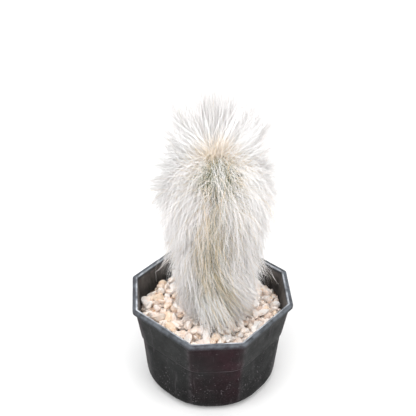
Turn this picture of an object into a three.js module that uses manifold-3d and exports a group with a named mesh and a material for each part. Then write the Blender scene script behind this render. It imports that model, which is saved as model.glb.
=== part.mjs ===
// A potted old man cactus: one ribbed column in a coat of long white hair, standing in soil under
// a top dressing of chipped stone, in an eight-sided plastic pot.
// Millimetres, +Z up. The origin is the centre of the pot's foot, on the surface it stands on.
import * as THREE from "three";
import { mergeVertices } from "three/addons/utils/BufferGeometryUtils.js";
import Module from "manifold-3d";

const wasm = await Module();
wasm.setup();

// ---- Driving dimensions -------------------------------------------------------------------------

// The pot is a square with its corners cut off: four long sides and four short ones.
const RIM_ACROSS_LONG = 100; // over the lip, between two opposite long sides
const RIM_ACROSS_SHORT = 106.4; // over the lip, between two opposite short sides
const POT_HEIGHT = 70;
const WALL = 1.6;
const LIP_OVERHANG = 2.1;
const LIP_HEIGHT = 3.6;
const SHOULDER_HEIGHT = 42; // where the upper band steps in to the lower wall
const SHOULDER_STEP = 0.9;
const UPPER_TAPER = 2.7; // how far a wall leans in, from the lip down to the shoulder
// From the shoulder down the section turns from eight-sided to almost round.
const FOOT_RADIUS = 44.6; // to the middle of any side, at the surface the pot stands on
const FOOT_ROUNDING = 8.5; // radius where the wall turns under
const FOOT_RING_WIDTH = 8; // from the wall to the recess under the floor
const FOOT_RECESS = 1.5; // how far the underside stands clear of the surface
const FLOOR_THICKNESS = 2;
const FLOOR_INSET = 5.5; // from the wall's outside to the edge of the flat floor inside
const DRAIN_RADIUS = 4;
const DRAIN_CIRCLE_RADIUS = 20;
const DRAIN_COUNT = 4;
const CORNER_ROUNDING_LIP = 3;
const CORNER_ROUNDING_FOOT = 40;

const FIT = 0.3; // clearance between pieces that touch

const SOIL_TOP = 49;
const GRAVEL_BED_TOP = 54;
const STONE_CENTRE_HEIGHT = 55.2;
const STONE_LENGTH = 9;
const STONE_WIDTH = 7.6;
const STONE_THICKNESS = 5.8;
const STONE_SPACING = 7.8;
const ROW_PITCH = Math.sin(Math.PI / 3); // between two staggered rows, as a share of the spacing
const STONE_JITTER = 0.2;
const STONE_TILT = 0.35; // radians, either way

const STEM_OFFSET_X = 2.3; // the plant stands a little off the pot's middle
const STEM_ROOT_HEIGHT = 24;
const STEM_NECK_RADIUS = 15.5; // at the stones
const STEM_RADIUS = 21.5;
const STEM_SHOULDER_HEIGHT = 151;
const STEM_APEX_HEIGHT = 175;
const RIB_COUNT = 16;
const RIB_DEPTH = 1.4;
const STEM_LEVELS = [
  STEM_ROOT_HEIGHT,
  36,
  46,
  GRAVEL_BED_TOP,
  66,
  92,
  STEM_SHOULDER_HEIGHT,
];
const DOME_SHARES = [0.5, 0.8, 0.97]; // the levels over the shoulder, as shares of the dome

const COAT_BOTTOM = 61.5; // the lowest hair lies just above the stones
const LOCK_ROWS = 10;
const LOCK_FIRST_HEIGHT = 68;
const LOCK_LENGTH = 31; // how far a lock falls
const LOWEST_LOCK_LENGTH = 17;
const COAT_RADIUS = 31;
const COAT_FOOT_RADIUS = 21.5;
const COAT_FOOT_FRONT_SPREAD = 9; // in front the lowest hair spreads out over the stones
const LOCK_HALF_WIDTH = 3.6;
const LOCK_THICKNESS = 2;
const TUFT_EVERY = 9; // one lock in so many stands out from the coat
const TUFT_EXTRA_REACH = 7;

// The crown's hair parts from the growing point. Radii are from the stem's axis.
const CROWN_LOCKS = 64;
const CROWN_FRONT_TIP = { radius: 31, height: 131 }; // of the innermost locks
const CROWN_BACK_TIP = { radius: 43, height: 203 };
const SHOULDER_FRONT_TIP = { radius: 35, height: 114 }; // of the outermost locks
const SHOULDER_BACK_TIP = { radius: 46, height: 166 };

const SPINE_LENGTH = 12;
const SPINE_RADIUS = 0.5;
const CROWN_SPINES = 16;

// ---- Small helpers ------------------------------------------------------------------------------

const radians = THREE.MathUtils.degToRad;
const lerp = THREE.MathUtils.lerp;
const smooth = THREE.MathUtils.smoothstep;

// What the random draws are for, so that no two kinds share theirs.
const [PLACE, CHIP, CHIP_CORNER, COAT, CROWN] = [1, 2, 3, 4, 5];

// A repeatable draw from 0 to 1 for the index-th piece of a kind and one of its properties.
function draw(kind, index, property) {
  const wave = Math.sin(kind * 37.719 + index * 127.1 + property * 311.7) * 43758.5453;
  return wave - Math.floor(wave);
}

// The same draw, spread evenly from -1 to 1.
function swing(kind, index, property) {
  return 2 * draw(kind, index, property) - 1;
}

// A closed three.js geometry as a manifold-3d solid.
function solidOf(geometry) {
  const bare = geometry.clone();
  bare.deleteAttribute("normal");
  bare.deleteAttribute("uv");
  const merged = mergeVertices(bare, 1e-4);
  return new wasm.Manifold(
    new wasm.Mesh({
      numProp: 3,
      vertProperties: new Float32Array(merged.attributes.position.array),
      triVerts: new Uint32Array(merged.index.array),
    }),
  );
}

// A manifold-3d solid as a geometry. Scraps and sealed pockets are dropped: the largest body stays.
function geometryOf(solid) {
  const bodies = solid.decompose().sort((a, b) => b.volume() - a.volume());
  const mesh = bodies[0].getMesh();
  const geometry = new THREE.BufferGeometry();
  geometry.setAttribute("position", new THREE.BufferAttribute(mesh.vertProperties, 3));
  geometry.setIndex(new THREE.BufferAttribute(mesh.triVerts, 1));
  return geometry;
}

// A closed skin over rings of points, all with the same number of points and turning anticlockwise
// seen from the end of the stack. The first and the last ring close on their own centres.
function loft(rings) {
  const count = rings[0].length;
  const points = rings.flat();
  const faces = [];
  rings.slice(1).forEach((_, level) => {
    for (let i = 0; i < count; i++) {
      const next = (i + 1) % count;
      const low = level * count;
      const high = low + count;
      faces.push(low + i, low + next, high + next, low + i, high + next, high + i);
    }
  });
  const middle = (ring) =>
    ring.reduce((sum, point) => sum.add(point), new THREE.Vector3()).divideScalar(count);
  const start = points.push(middle(rings[0])) - 1;
  const end = points.push(middle(rings.at(-1))) - 1;
  const last = (rings.length - 1) * count;
  for (let i = 0; i < count; i++) {
    const next = (i + 1) % count;
    faces.push(start, next, i, end, last + i, last + next);
  }
  const geometry = new THREE.BufferGeometry().setFromPoints(points);
  geometry.setIndex(faces);
  return geometry;
}

function namedMesh(name, geometry, material) {
  const flat = geometry.toNonIndexed();
  flat.computeVertexNormals();
  const mesh = new THREE.Mesh(flat, material);
  mesh.name = name;
  return mesh;
}

// ---- The pot's eight-sided section --------------------------------------------------------------

const CORNER_STEPS = 3; // chords in each rounded corner
const LIP_REACH = [RIM_ACROSS_SHORT / 2, RIM_ACROSS_LONG / 2]; // to a short side and a long one

// A section of eight lines, with round corners. The short sides face +X, +Y, -X and -Y. The two
// distances are from the axis to a short side and to a long one, before both are moved inwards.
function potSection(distances, inwards, fullRounding, height) {
  const turn = Math.PI / 4;
  const rounding = Math.max(fullRounding - inwards, 1);
  const ring = [];
  for (let side = 0; side < 8; side++) {
    const angle = side * turn;
    const here = distances[side % 2] - inwards;
    const next = distances[(side + 1) % 2] - inwards;
    // The corner where this side's line meets the next one.
    const along = (next - here * Math.cos(turn)) / Math.sin(turn);
    const back = rounding * Math.tan(turn / 2);
    // The rounding's centre lies one radius inside both lines.
    const centre = new THREE.Vector2(here - rounding, along - back).rotateAround(
      new THREE.Vector2(),
      angle,
    );
    for (let step = 0; step <= CORNER_STEPS; step++) {
      const a = angle + (turn * step) / CORNER_STEPS;
      ring.push(
        new THREE.Vector3(
          centre.x + rounding * Math.cos(a),
          centre.y + rounding * Math.sin(a),
          height,
        ),
      );
    }
  }
  return ring;
}

// The distances to the outside of the wall at a height, without the foot's rounding.
function wallReach(height) {
  const lipBottom = POT_HEIGHT - LIP_HEIGHT;
  if (height >= SHOULDER_HEIGHT) {
    const share = (lipBottom - height) / (lipBottom - SHOULDER_HEIGHT);
    return LIP_REACH.map((reach) => reach - LIP_OVERHANG - UPPER_TAPER * share);
  }
  const atShoulder = LIP_OVERHANG + UPPER_TAPER + SHOULDER_STEP;
  return LIP_REACH.map((reach) =>
    lerp(FOOT_RADIUS, reach - atShoulder, Math.max(height, 0) / SHOULDER_HEIGHT),
  );
}

function cornerRounding(height) {
  return lerp(CORNER_ROUNDING_FOOT, CORNER_ROUNDING_LIP, height / POT_HEIGHT);
}

// The outside of the wall at a height, moved inwards, and drawn at another height if asked.
function wallSection(height, inwards = 0, z = height) {
  return potSection(wallReach(height), inwards, cornerRounding(height), z);
}

// The inside of the wall, moved in by an optional clearance.
function cavitySection(height, clearance = 0) {
  return wallSection(Math.min(height, POT_HEIGHT - LIP_HEIGHT), WALL + clearance, height);
}

// ---- Pot ----------------------------------------------------------------------------------------

function pot() {
  const lip = (inwards, height) => potSection(LIP_REACH, inwards, CORNER_ROUNDING_LIP, height);
  const footCurve = [0, 0.5, 1].map((share) => {
    const angle = (share * Math.PI) / 2;
    const height = FOOT_ROUNDING * (1 - Math.cos(angle));
    return wallSection(height, FOOT_ROUNDING * (1 - Math.sin(angle)));
  });
  const lipBottom = POT_HEIGHT - LIP_HEIGHT;
  const lipSoftening = 0.9;
  const floorTop = FOOT_RECESS + FLOOR_THICKNESS;
  const solid = solidOf(
    loft([
      wallSection(0, FOOT_ROUNDING + FOOT_RING_WIDTH + WALL, FOOT_RECESS),
      wallSection(0, FOOT_ROUNDING + FOOT_RING_WIDTH),
      ...footCurve,
      wallSection(SHOULDER_HEIGHT - SHOULDER_STEP),
      wallSection(SHOULDER_HEIGHT),
      wallSection(lipBottom),
      lip(lipSoftening / 2, lipBottom + 0.2),
      lip(0, lipBottom + lipSoftening),
      lip(0, POT_HEIGHT - lipSoftening),
      lip(lipSoftening, POT_HEIGHT),
      lip(LIP_OVERHANG + WALL - lipSoftening, POT_HEIGHT),
      cavitySection(POT_HEIGHT - lipSoftening),
      cavitySection(lipBottom),
      cavitySection(SHOULDER_HEIGHT),
      cavitySection(SHOULDER_HEIGHT - SHOULDER_STEP),
      cavitySection(FOOT_ROUNDING),
      wallSection(floorTop, FLOOR_INSET),
    ]),
  );
  const drains = Array.from({ length: DRAIN_COUNT }, (_, i) => {
    const angle = ((i + 0.5) * 2 * Math.PI) / DRAIN_COUNT;
    const hole = new THREE.CylinderGeometry(DRAIN_RADIUS, DRAIN_RADIUS, 4 * FLOOR_THICKNESS, 12);
    hole.rotateX(Math.PI / 2);
    hole.translate(
      DRAIN_CIRCLE_RADIUS * Math.cos(angle),
      DRAIN_CIRCLE_RADIUS * Math.sin(angle),
      FOOT_RECESS + FLOOR_THICKNESS / 2,
    );
    return solidOf(hole);
  });
  return geometryOf(solid.subtract(wasm.Manifold.union(drains)));
}

// ---- Soil ---------------------------------------------------------------------------------------

// The plain hole that the stem's root stands in, in soil and stones alike: the stem's own levels,
// cleared all round.
function stemHole() {
  const sides = 24;
  const widened = (height) => (stemRadius(height) + FIT) / Math.cos(Math.PI / sides);
  const bottom = STEM_ROOT_HEIGHT - FIT;
  const levels = STEM_LEVELS.filter((height) => height > STEM_ROOT_HEIGHT && height < POT_HEIGHT);
  const top = levels.at(-1);
  const profile = [
    new THREE.Vector2(0, bottom),
    new THREE.Vector2(widened(STEM_ROOT_HEIGHT), bottom),
    ...levels.map((height) => new THREE.Vector2(widened(height), height)),
    new THREE.Vector2(0, top),
  ];
  const hole = new THREE.LatheGeometry(profile, sides);
  hole.rotateX(Math.PI / 2);
  hole.translate(STEM_OFFSET_X, 0, 0);
  return solidOf(hole);
}

function soil() {
  const floorTop = FOOT_RECESS + FLOOR_THICKNESS + FIT;
  const plug = solidOf(
    loft([
      wallSection(floorTop, FLOOR_INSET + FIT),
      cavitySection(FOOT_ROUNDING + FIT, FIT),
      cavitySection(SHOULDER_HEIGHT - SHOULDER_STEP, FIT),
      cavitySection(SHOULDER_HEIGHT, FIT),
      cavitySection(SOIL_TOP, FIT),
    ]),
  );
  return geometryOf(plug.subtract(stemHole()));
}

// ---- Gravel -------------------------------------------------------------------------------------

// One chip: a twenty-sided block, drawn out to three different lengths, with its corners moved.
function stone(index, x, y) {
  const block = new THREE.IcosahedronGeometry(1);
  block.deleteAttribute("normal");
  block.deleteAttribute("uv");
  const chip = mergeVertices(block, 1e-4);
  const corners = chip.attributes.position;
  const corner = new THREE.Vector3();
  for (let i = 0; i < corners.count; i++) {
    corner.fromBufferAttribute(corners, i).multiplyScalar(1 + 0.2 * swing(CHIP_CORNER, index, i));
    corners.setXYZ(i, ...corner);
  }
  const grown = 0.45 + 0.13 * draw(CHIP, index, 1);
  chip.scale(STONE_LENGTH * grown, STONE_WIDTH * grown, STONE_THICKNESS * grown);
  chip.rotateX(STONE_TILT * swing(CHIP, index, 2));
  chip.rotateY(STONE_TILT * swing(CHIP, index, 3));
  chip.rotateZ(2 * Math.PI * draw(CHIP, index, 4));
  chip.translate(x, y, STONE_CENTRE_HEIGHT + 0.8 * swing(CHIP, index, 5));
  return solidOf(chip);
}

// How far a point lies inside the pot's cavity at the height of the stones.
function depthInside(x, y) {
  const [short, long] = wallReach(STONE_CENTRE_HEIGHT);
  const toShort = short - Math.max(Math.abs(x), Math.abs(y));
  const toLong = long - (Math.abs(x) + Math.abs(y)) * Math.SQRT1_2;
  return Math.min(toShort, toLong) - WALL;
}

// The stones lie in a staggered, jittered grid on a thin bed of the finer ones between them, and
// the pot's wall cuts off what would stick into it.
function gravel() {
  const filled = (top) =>
    solidOf(loft([cavitySection(SOIL_TOP + FIT, FIT), cavitySection(top, FIT)]));
  const stones = [];
  const rows = Math.ceil(RIM_ACROSS_SHORT / STONE_SPACING);
  for (let row = -rows; row <= rows; row++) {
    for (let column = -rows; column <= rows; column++) {
      const index = (row + rows) * (2 * rows + 1) + column + rows;
      const stagger = row % 2 ? 0.5 : 0;
      const x = STONE_SPACING * (column + stagger + STONE_JITTER * swing(PLACE, index, 1));
      const y = STONE_SPACING * (row * ROW_PITCH + STONE_JITTER * swing(PLACE, index, 2));
      const fromStem = Math.hypot(x - STEM_OFFSET_X, y) - STEM_NECK_RADIUS;
      if (depthInside(x, y) > STONE_LENGTH * 0.42 && fromStem > STONE_LENGTH * 0.3) {
        stones.push(stone(index, x, y));
      }
    }
  }
  const layer = wasm.Manifold.union([filled(GRAVEL_BED_TOP), ...stones]);
  return geometryOf(layer.intersect(filled(POT_HEIGHT - LIP_HEIGHT)).subtract(stemHole()));
}

// ---- Cactus -------------------------------------------------------------------------------------

// The stem's radius at a height, over the ridges of its ribs: a root that tapers down into the
// soil, a column that swells a little above its neck, and a dome on top.
function stemRadius(height) {
  if (height > STEM_SHOULDER_HEIGHT) {
    const share = (height - STEM_SHOULDER_HEIGHT) / (STEM_APEX_HEIGHT - STEM_SHOULDER_HEIGHT);
    return STEM_RADIUS * Math.sqrt(Math.max(0, 1 - share ** 2));
  }
  if (height < GRAVEL_BED_TOP) {
    const share = smooth(height, STEM_ROOT_HEIGHT - 10, GRAVEL_BED_TOP);
    return STEM_NECK_RADIUS * lerp(0.35, 1, share);
  }
  return lerp(STEM_NECK_RADIUS, STEM_RADIUS, smooth(height, GRAVEL_BED_TOP, 95));
}

function stemRing(height) {
  const points = 2 * RIB_COUNT;
  const radius = stemRadius(height);
  // Ribs fade out underground and towards the apex.
  const shown = smooth(height, GRAVEL_BED_TOP - 2, GRAVEL_BED_TOP + 12) * (radius / STEM_RADIUS);
  return Array.from({ length: points }, (_, i) => {
    const angle = (i * 2 * Math.PI) / points;
    const r = radius - (i % 2 ? RIB_DEPTH * shown : 0);
    return new THREE.Vector3(r * Math.cos(angle), r * Math.sin(angle), height);
  });
}

function stem() {
  const dome = DOME_SHARES.map((share) => lerp(STEM_SHOULDER_HEIGHT, STEM_APEX_HEIGHT, share));
  return solidOf(loft([...STEM_LEVELS, ...dome].map(stemRing)));
}

// A lock of hair: a three-sided, tapering blade along a curve, flat side in and ridge out. It has
// a section at each station, which is a share of its length with the width there.
const COAT_STATIONS = [
  [0, 0.5],
  [0.42, 1],
];
const CROWN_STATIONS = [
  [0, 0.5],
  [0.34, 1],
  [0.68, 0.75],
];

function lockOfHair(curve, side, halfWidth, stations) {
  const rings = stations.map(([t, width]) => {
    const point = curve.getPoint(t);
    const outward = new THREE.Vector3().crossVectors(curve.getTangent(t), side).normalize();
    const corner = (across, out) =>
      point
        .clone()
        .addScaledVector(side, across * halfWidth * width)
        .addScaledVector(outward, out * LOCK_THICKNESS * width);
    return [corner(1, 0), corner(0, 1), corner(-1, 0)];
  });
  const last = 3 * (stations.length - 1);
  const faces = [0, 2, 1];
  for (let low = 0; low < last; low += 3) {
    for (let i = 0; i < 3; i++) {
      const [here, next] = [low + i, low + ((i + 1) % 3)];
      faces.push(here, next, next + 3, here, next + 3, here + 3);
    }
  }
  for (let i = 0; i < 3; i++) {
    faces.push(last + i, last + ((i + 1) % 3), last + 3);
  }
  const geometry = new THREE.BufferGeometry().setFromPoints([...rings.flat(), curve.getPoint(1)]);
  geometry.setIndex(faces);
  return solidOf(geometry);
}

// A point by its angle round the stem, its distance from the stem's axis, a shift sideways and
// its height.
function around(angle, radius, sideways, height) {
  return new THREE.Vector3(
    radius * Math.cos(angle) - sideways * Math.sin(angle),
    radius * Math.sin(angle) + sideways * Math.cos(angle),
    height,
  );
}

// 0 at the front of the plant, which faces -Y, and 1 at its back.
function backness(angle) {
  return smooth(Math.sin(angle), -1, 0.8);
}

// The coat's outer radius at an angle round the stem and a height: it narrows towards the stones.
function coatRadius(angle, height) {
  const foot = COAT_FOOT_RADIUS + COAT_FOOT_FRONT_SPREAD * (1 - backness(angle)) ** 2;
  return lerp(foot, COAT_RADIUS, smooth(height, COAT_BOTTOM - 3, 106));
}

// The lock that grows at an angle round the stem and a height up it. It slants down and away
// from the skin, and near the top of the stem it is lifted towards the back.
function coatLock(index, angle, height) {
  const lift = backness(angle) * smooth(height, 112, STEM_SHOULDER_HEIGHT);
  const standing = index % TUFT_EVERY === 4 && height > 90 ? 0.6 + 0.8 * draw(COAT, index, 1) : 0;
  const full = lerp(LOWEST_LOCK_LENGTH, LOCK_LENGTH, smooth(height, LOCK_FIRST_HEIGHT, 112));
  const length = full * (0.9 + 0.2 * draw(COAT, index, 2)) * (1 - 0.5 * lift - 0.35 * standing);
  const fall = Math.min(length, height - COAT_BOTTOM);
  const skin = stemRadius(height);
  const radius = coatRadius(angle, height - fall) + 7 * lift + 1.6 * swing(COAT, index, 3);
  const out = radius - skin + TUFT_EXTRA_REACH * standing;
  const drift = 3.5 * swing(COAT, index, 4);
  const curve = new THREE.CubicBezierCurve3(
    around(angle, skin - 2.5, 0, height),
    around(angle, skin + 0.4 * out, 0, height + 1.5),
    around(angle, skin + 0.74 * out, 0.5 * drift, height - 0.42 * fall),
    around(angle, skin + out, drift, height - fall),
  );
  const halfWidth = (LOCK_HALF_WIDTH * radius) / COAT_RADIUS;
  return lockOfHair(curve, around(angle, 0, 1, 0), halfWidth, COAT_STATIONS);
}

// A point just under the dome's skin, at an angle round the stem and one down from the apex.
function domePoint(angle, polar) {
  const domeHeight = STEM_APEX_HEIGHT - STEM_SHOULDER_HEIGHT;
  const height = STEM_SHOULDER_HEIGHT - 2 + domeHeight * Math.cos(polar);
  return around(angle, (STEM_RADIUS - 2) * Math.sin(polar), 0, height);
}

// The index-th of a number of places spread evenly over the dome, as angles round and down.
function domePlace(index, count, widest) {
  const golden = Math.PI * (3 - Math.sqrt(5));
  return [index * golden, radians(widest) * Math.sqrt((index + 0.5) / count)];
}

// The lock that grows on the dome. Round the back the crown's hair stands up and fans out, at the
// sides it droops, and in front it falls down the stem.
function crownLock(index) {
  const [angle, polar] = domePlace(index, CROWN_LOCKS, 86);
  const back = backness(angle);
  const inner = Math.cos(polar);
  const tipOf = (key, share) =>
    lerp(
      lerp(SHOULDER_FRONT_TIP[key], SHOULDER_BACK_TIP[key], back),
      lerp(CROWN_FRONT_TIP[key], CROWN_BACK_TIP[key], share),
      inner,
    );
  const tip = around(
    angle,
    tipOf("radius", back ** 2) + 2.5 * swing(CROWN, index, 1),
    4 * swing(CROWN, index, 2),
    tipOf("height", back) + 4 * swing(CROWN, index, 3),
  );
  const root = domePoint(angle, polar);
  const stand = root.distanceTo(tip) * 0.3;
  const start = around(angle, Math.sin(polar) * stand, 0, Math.cos(polar) * stand).add(root);
  const bend = root.clone().lerp(tip, 0.62).add(around(angle, 3, 0, lerp(13, 1, back)));
  const curve = new THREE.CubicBezierCurve3(root, start, bend, tip);
  return lockOfHair(curve, around(angle, 0, 1, 0), 0.85 * LOCK_HALF_WIDTH, CROWN_STATIONS);
}

// A straight three-sided spine from a root, along a direction.
function spine(root, direction) {
  const needle = new THREE.ConeGeometry(SPINE_RADIUS, SPINE_LENGTH, 3);
  needle.translate(0, SPINE_LENGTH / 2, 0);
  const turn = new THREE.Quaternion().setFromUnitVectors(
    new THREE.Vector3(0, 1, 0),
    direction.normalize(),
  );
  needle.applyQuaternion(turn);
  needle.translate(root.x, root.y, root.z);
  return solidOf(needle);
}

function cactus() {
  const pieces = [stem()];
  const rise = (STEM_SHOULDER_HEIGHT - LOCK_FIRST_HEIGHT) / (LOCK_ROWS - 0.5);
  for (let row = 0; row < LOCK_ROWS; row++) {
    for (let rib = 0; rib < RIB_COUNT; rib++) {
      const angle = (rib * 2 * Math.PI) / RIB_COUNT;
      const height = LOCK_FIRST_HEIGHT + rise * (row + (rib % 2) / 2);
      pieces.push(coatLock(row * RIB_COUNT + rib, angle, height));
      if (row > 0 && (row + rib) % 4 === 0) {
        const low = height - rise / 2;
        pieces.push(spine(around(angle, stemRadius(low) - 2, 0, low), around(angle, 1, 0, -0.7)));
      }
    }
  }
  for (let i = 0; i < CROWN_LOCKS; i++) {
    pieces.push(crownLock(i));
  }
  for (let i = 0; i < CROWN_SPINES; i++) {
    const [angle, polar] = domePlace(i, CROWN_SPINES, 70);
    pieces.push(spine(domePoint(angle, polar), around(angle, Math.sin(polar), 0, Math.cos(polar))));
  }
  return geometryOf(wasm.Manifold.union(pieces));
}

// ---- Assembly -----------------------------------------------------------------------------------

const plastic = new THREE.MeshStandardMaterial({ color: "#3c3a3c", roughness: 0.5, metalness: 0 });
const earth = new THREE.MeshStandardMaterial({ color: "#3a2a20", roughness: 1, metalness: 0 });
const chippings = new THREE.MeshStandardMaterial({ color: "#ead8c8", roughness: 0.85, metalness: 0 });
const hair = new THREE.MeshStandardMaterial({ color: "#e9e4de", roughness: 0.7, metalness: 0 });

const plant = namedMesh("old_man_cactus", cactus(), hair);
plant.position.x = STEM_OFFSET_X;

const pottedCactus = new THREE.Group();
pottedCactus.name = "potted_old_man_cactus";
pottedCactus.add(
  namedMesh("pot", pot(), plastic),
  namedMesh("soil", soil(), earth),
  namedMesh("gravel", gravel(), chippings),
  plant,
);

export default pottedCactus;
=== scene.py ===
"""A potted old man cactus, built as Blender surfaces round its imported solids.

Every piece is an array surface in metres, in the frame of the solids: +Z up, the origin under the
middle of the pot, -Y to the front. An angle round the plant is counted from +X towards +Y.
"""

import itertools
import math
from typing import NamedTuple

import bpy
import numpy as np
from bpy.props import FloatProperty, FloatVectorProperty, IntProperty, PointerProperty
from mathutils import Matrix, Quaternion, Vector


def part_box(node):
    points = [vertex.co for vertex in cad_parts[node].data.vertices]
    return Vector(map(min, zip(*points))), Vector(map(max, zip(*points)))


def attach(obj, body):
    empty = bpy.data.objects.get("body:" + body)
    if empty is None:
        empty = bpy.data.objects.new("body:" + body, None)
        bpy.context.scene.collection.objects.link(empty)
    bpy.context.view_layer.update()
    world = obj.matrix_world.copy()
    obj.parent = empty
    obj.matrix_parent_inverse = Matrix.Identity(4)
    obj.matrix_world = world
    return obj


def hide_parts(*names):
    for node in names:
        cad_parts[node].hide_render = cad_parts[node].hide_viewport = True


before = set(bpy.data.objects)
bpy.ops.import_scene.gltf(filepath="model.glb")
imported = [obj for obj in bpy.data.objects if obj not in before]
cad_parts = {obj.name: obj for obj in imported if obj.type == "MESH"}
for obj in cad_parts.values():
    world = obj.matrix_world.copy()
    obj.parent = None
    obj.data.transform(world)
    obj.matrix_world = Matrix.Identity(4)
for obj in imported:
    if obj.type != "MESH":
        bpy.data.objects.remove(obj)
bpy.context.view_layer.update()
POT_BOX = [np.array(corner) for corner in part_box("pot")]
SOIL_BOX = [np.array(corner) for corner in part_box("soil")]
GRAVEL_BOX = [np.array(corner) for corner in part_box("gravel")]
CACTUS_BOX = [np.array(corner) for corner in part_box("old_man_cactus")]

bl_info = {
    "name": "Potted Old Man Cactus",
    "version": (1, 0, 0),
    "blender": (4, 5, 0),
    "location": "3D View > Sidebar > Cactus",
    "description": "Makes a long-haired column cactus in an eight-sided pot dressed with stone chips",
    "category": "Object",
}

MM = 0.001

# ---- The pot's eight-sided section ----

SIDES = 8
TURN = 2 * math.pi / SIDES
LIP_REACH = np.array([POT_BOX[1][0], 50 * MM])  # to a short side, and to a long one
LIP_OVERHANG = 2.1 * MM
LIP_HEIGHT = 3.6 * MM
SHOULDER_HEIGHT = 42 * MM
SHOULDER_STEP = 0.9 * MM
UPPER_TAPER = 2.7 * MM
FOOT_RADIUS = 44.6 * MM
WALL = 1.6 * MM
FOOT_ROUNDING = 8.5 * MM
FOOT_RING_WIDTH = 8 * MM
FOOT_RECESS = 1.5 * MM
FLOOR_THICKNESS = 2 * MM
FLOOR_INSET = 5.5 * MM
CORNER_ROUNDING_LIP = 3 * MM
CORNER_ROUNDING_FOOT = 40 * MM
DRAIN_RADIUS = 4 * MM
DRAIN_CIRCLE_RADIUS = 20 * MM
DRAIN_COUNT = 4
DRAIN_SIDES = 24
POT_HEIGHT = POT_BOX[1][2]
LIP_FOOT = POT_HEIGHT - LIP_HEIGHT
FIT = 0.3 * MM

STONE_HEIGHT = GRAVEL_BOX[1][2] - 4 * MM  # where the wall is taken that the stones lie inside

# ---- The plant ----

STEM_X = 2.3 * MM
NECK_HEIGHT = 54 * MM
NECK_RADIUS = 15.5 * MM
STEM_RADIUS = 21.5 * MM
STEM_SHOULDER = 151 * MM
STEM_APEX = 175 * MM
RIB_COUNT = 16
RIB_DEPTH = 1.9 * MM
FIRST_AREOLE = 63 * MM
COAT_BOTTOM = 60.5 * MM
COAT_FOOT_RADIUS = 21.5 * MM
COAT_FRONT_SPREAD = 9 * MM  # by how much more the coat spreads over the stones in front
COAT_FULL_HEIGHT = 106 * MM
HAIR_TOP = 218 * MM
HAIR_BACK = 64 * MM  # hair keeps in front of this

# ---- Small helpers ----


def smooth(x, low, high):
    """An s-shaped step: 3s^2 - 2s^3, where s is how far x lies from low to high, kept to 0..1."""
    share = np.clip((x - low) / (high - low), 0, 1)
    return share * share * (3 - 2 * share)


def blend(a, b, share):
    """a where share is 0, b where it is 1, and straight between."""
    return a + (b - a) * share


def bell(x, width):
    """exp(-(x / width)^2): 1 at 0, falling off to both sides."""
    return np.exp(-((x / width) ** 2))


def unit(vectors):
    """The vectors of the last axis, each divided by its length."""
    return vectors / (np.linalg.norm(vectors, axis=-1, keepdims=True) + 1e-12)


def soft_limit(x, limit, ease):
    """x kept above a limit, or below it where ease is negative, with a soft turn as wide as ease:
    limit + ease ln(1 + exp((x - limit) / ease)). Far on its own side of the limit, x stays."""
    far = 30
    past = np.minimum((x - limit) / ease, far)
    return np.where(past < far, limit + ease * np.logaddexp(0, past), x)


def mesh_piece(name, points, quads, triangles, material, uv=None, tone=None, flat=False):
    """A mesh object from arrays of points, four-sided faces and three-sided faces.

    uv is one pair for each face corner, quads first. tone is one number for each point.
    """
    mesh = bpy.data.meshes.new(name)
    corners = np.concatenate([np.ravel(quads), np.ravel(triangles)]).astype(np.int32)
    sizes = np.repeat([4, 3], [len(quads), len(triangles)])
    mesh.vertices.add(len(points))
    mesh.vertices.foreach_set("co", np.asarray(points, np.float32).ravel())
    mesh.loops.add(len(corners))
    mesh.loops.foreach_set("vertex_index", corners)
    mesh.polygons.add(len(sizes))
    mesh.polygons.foreach_set("loop_start", (np.cumsum(sizes) - sizes).astype(np.int32))
    mesh.polygons.foreach_set("use_smooth", np.full(len(sizes), not flat))
    if uv is not None:
        layer = mesh.uv_layers.new(name=STRAND_MAP)
        layer.uv.foreach_set("vector", np.asarray(uv, np.float32).ravel())
    if tone is not None:
        layer = mesh.attributes.new("tone", "FLOAT", "POINT")
        layer.data.foreach_set("value", np.asarray(tone, np.float32))
    mesh.update(calc_edges=True)
    mesh.validate()
    mesh.materials.append(material)
    piece = bpy.data.objects.new(name, mesh)
    bpy.context.scene.collection.objects.link(piece)
    return piece


def place(piece, node):
    """Makes a piece ride on the root and hides the solid that it stands for."""
    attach(piece, "root")
    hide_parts(node)


def grid_faces(rows, columns):
    """The faces of a grid whose columns close on themselves: row by row, outwards to the right."""
    row = np.arange(rows - 1)[:, None] * columns
    here = np.arange(columns)[None]
    after = (here + 1) % columns
    above = row + columns
    return np.stack([row + here, row + after, above + after, above + here], -1).reshape(-1, 4)


# ---- Materials ----

STRAND_MAP = "OFBake"  # u is the strand's place in the palette and v runs from its root to its tip


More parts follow.
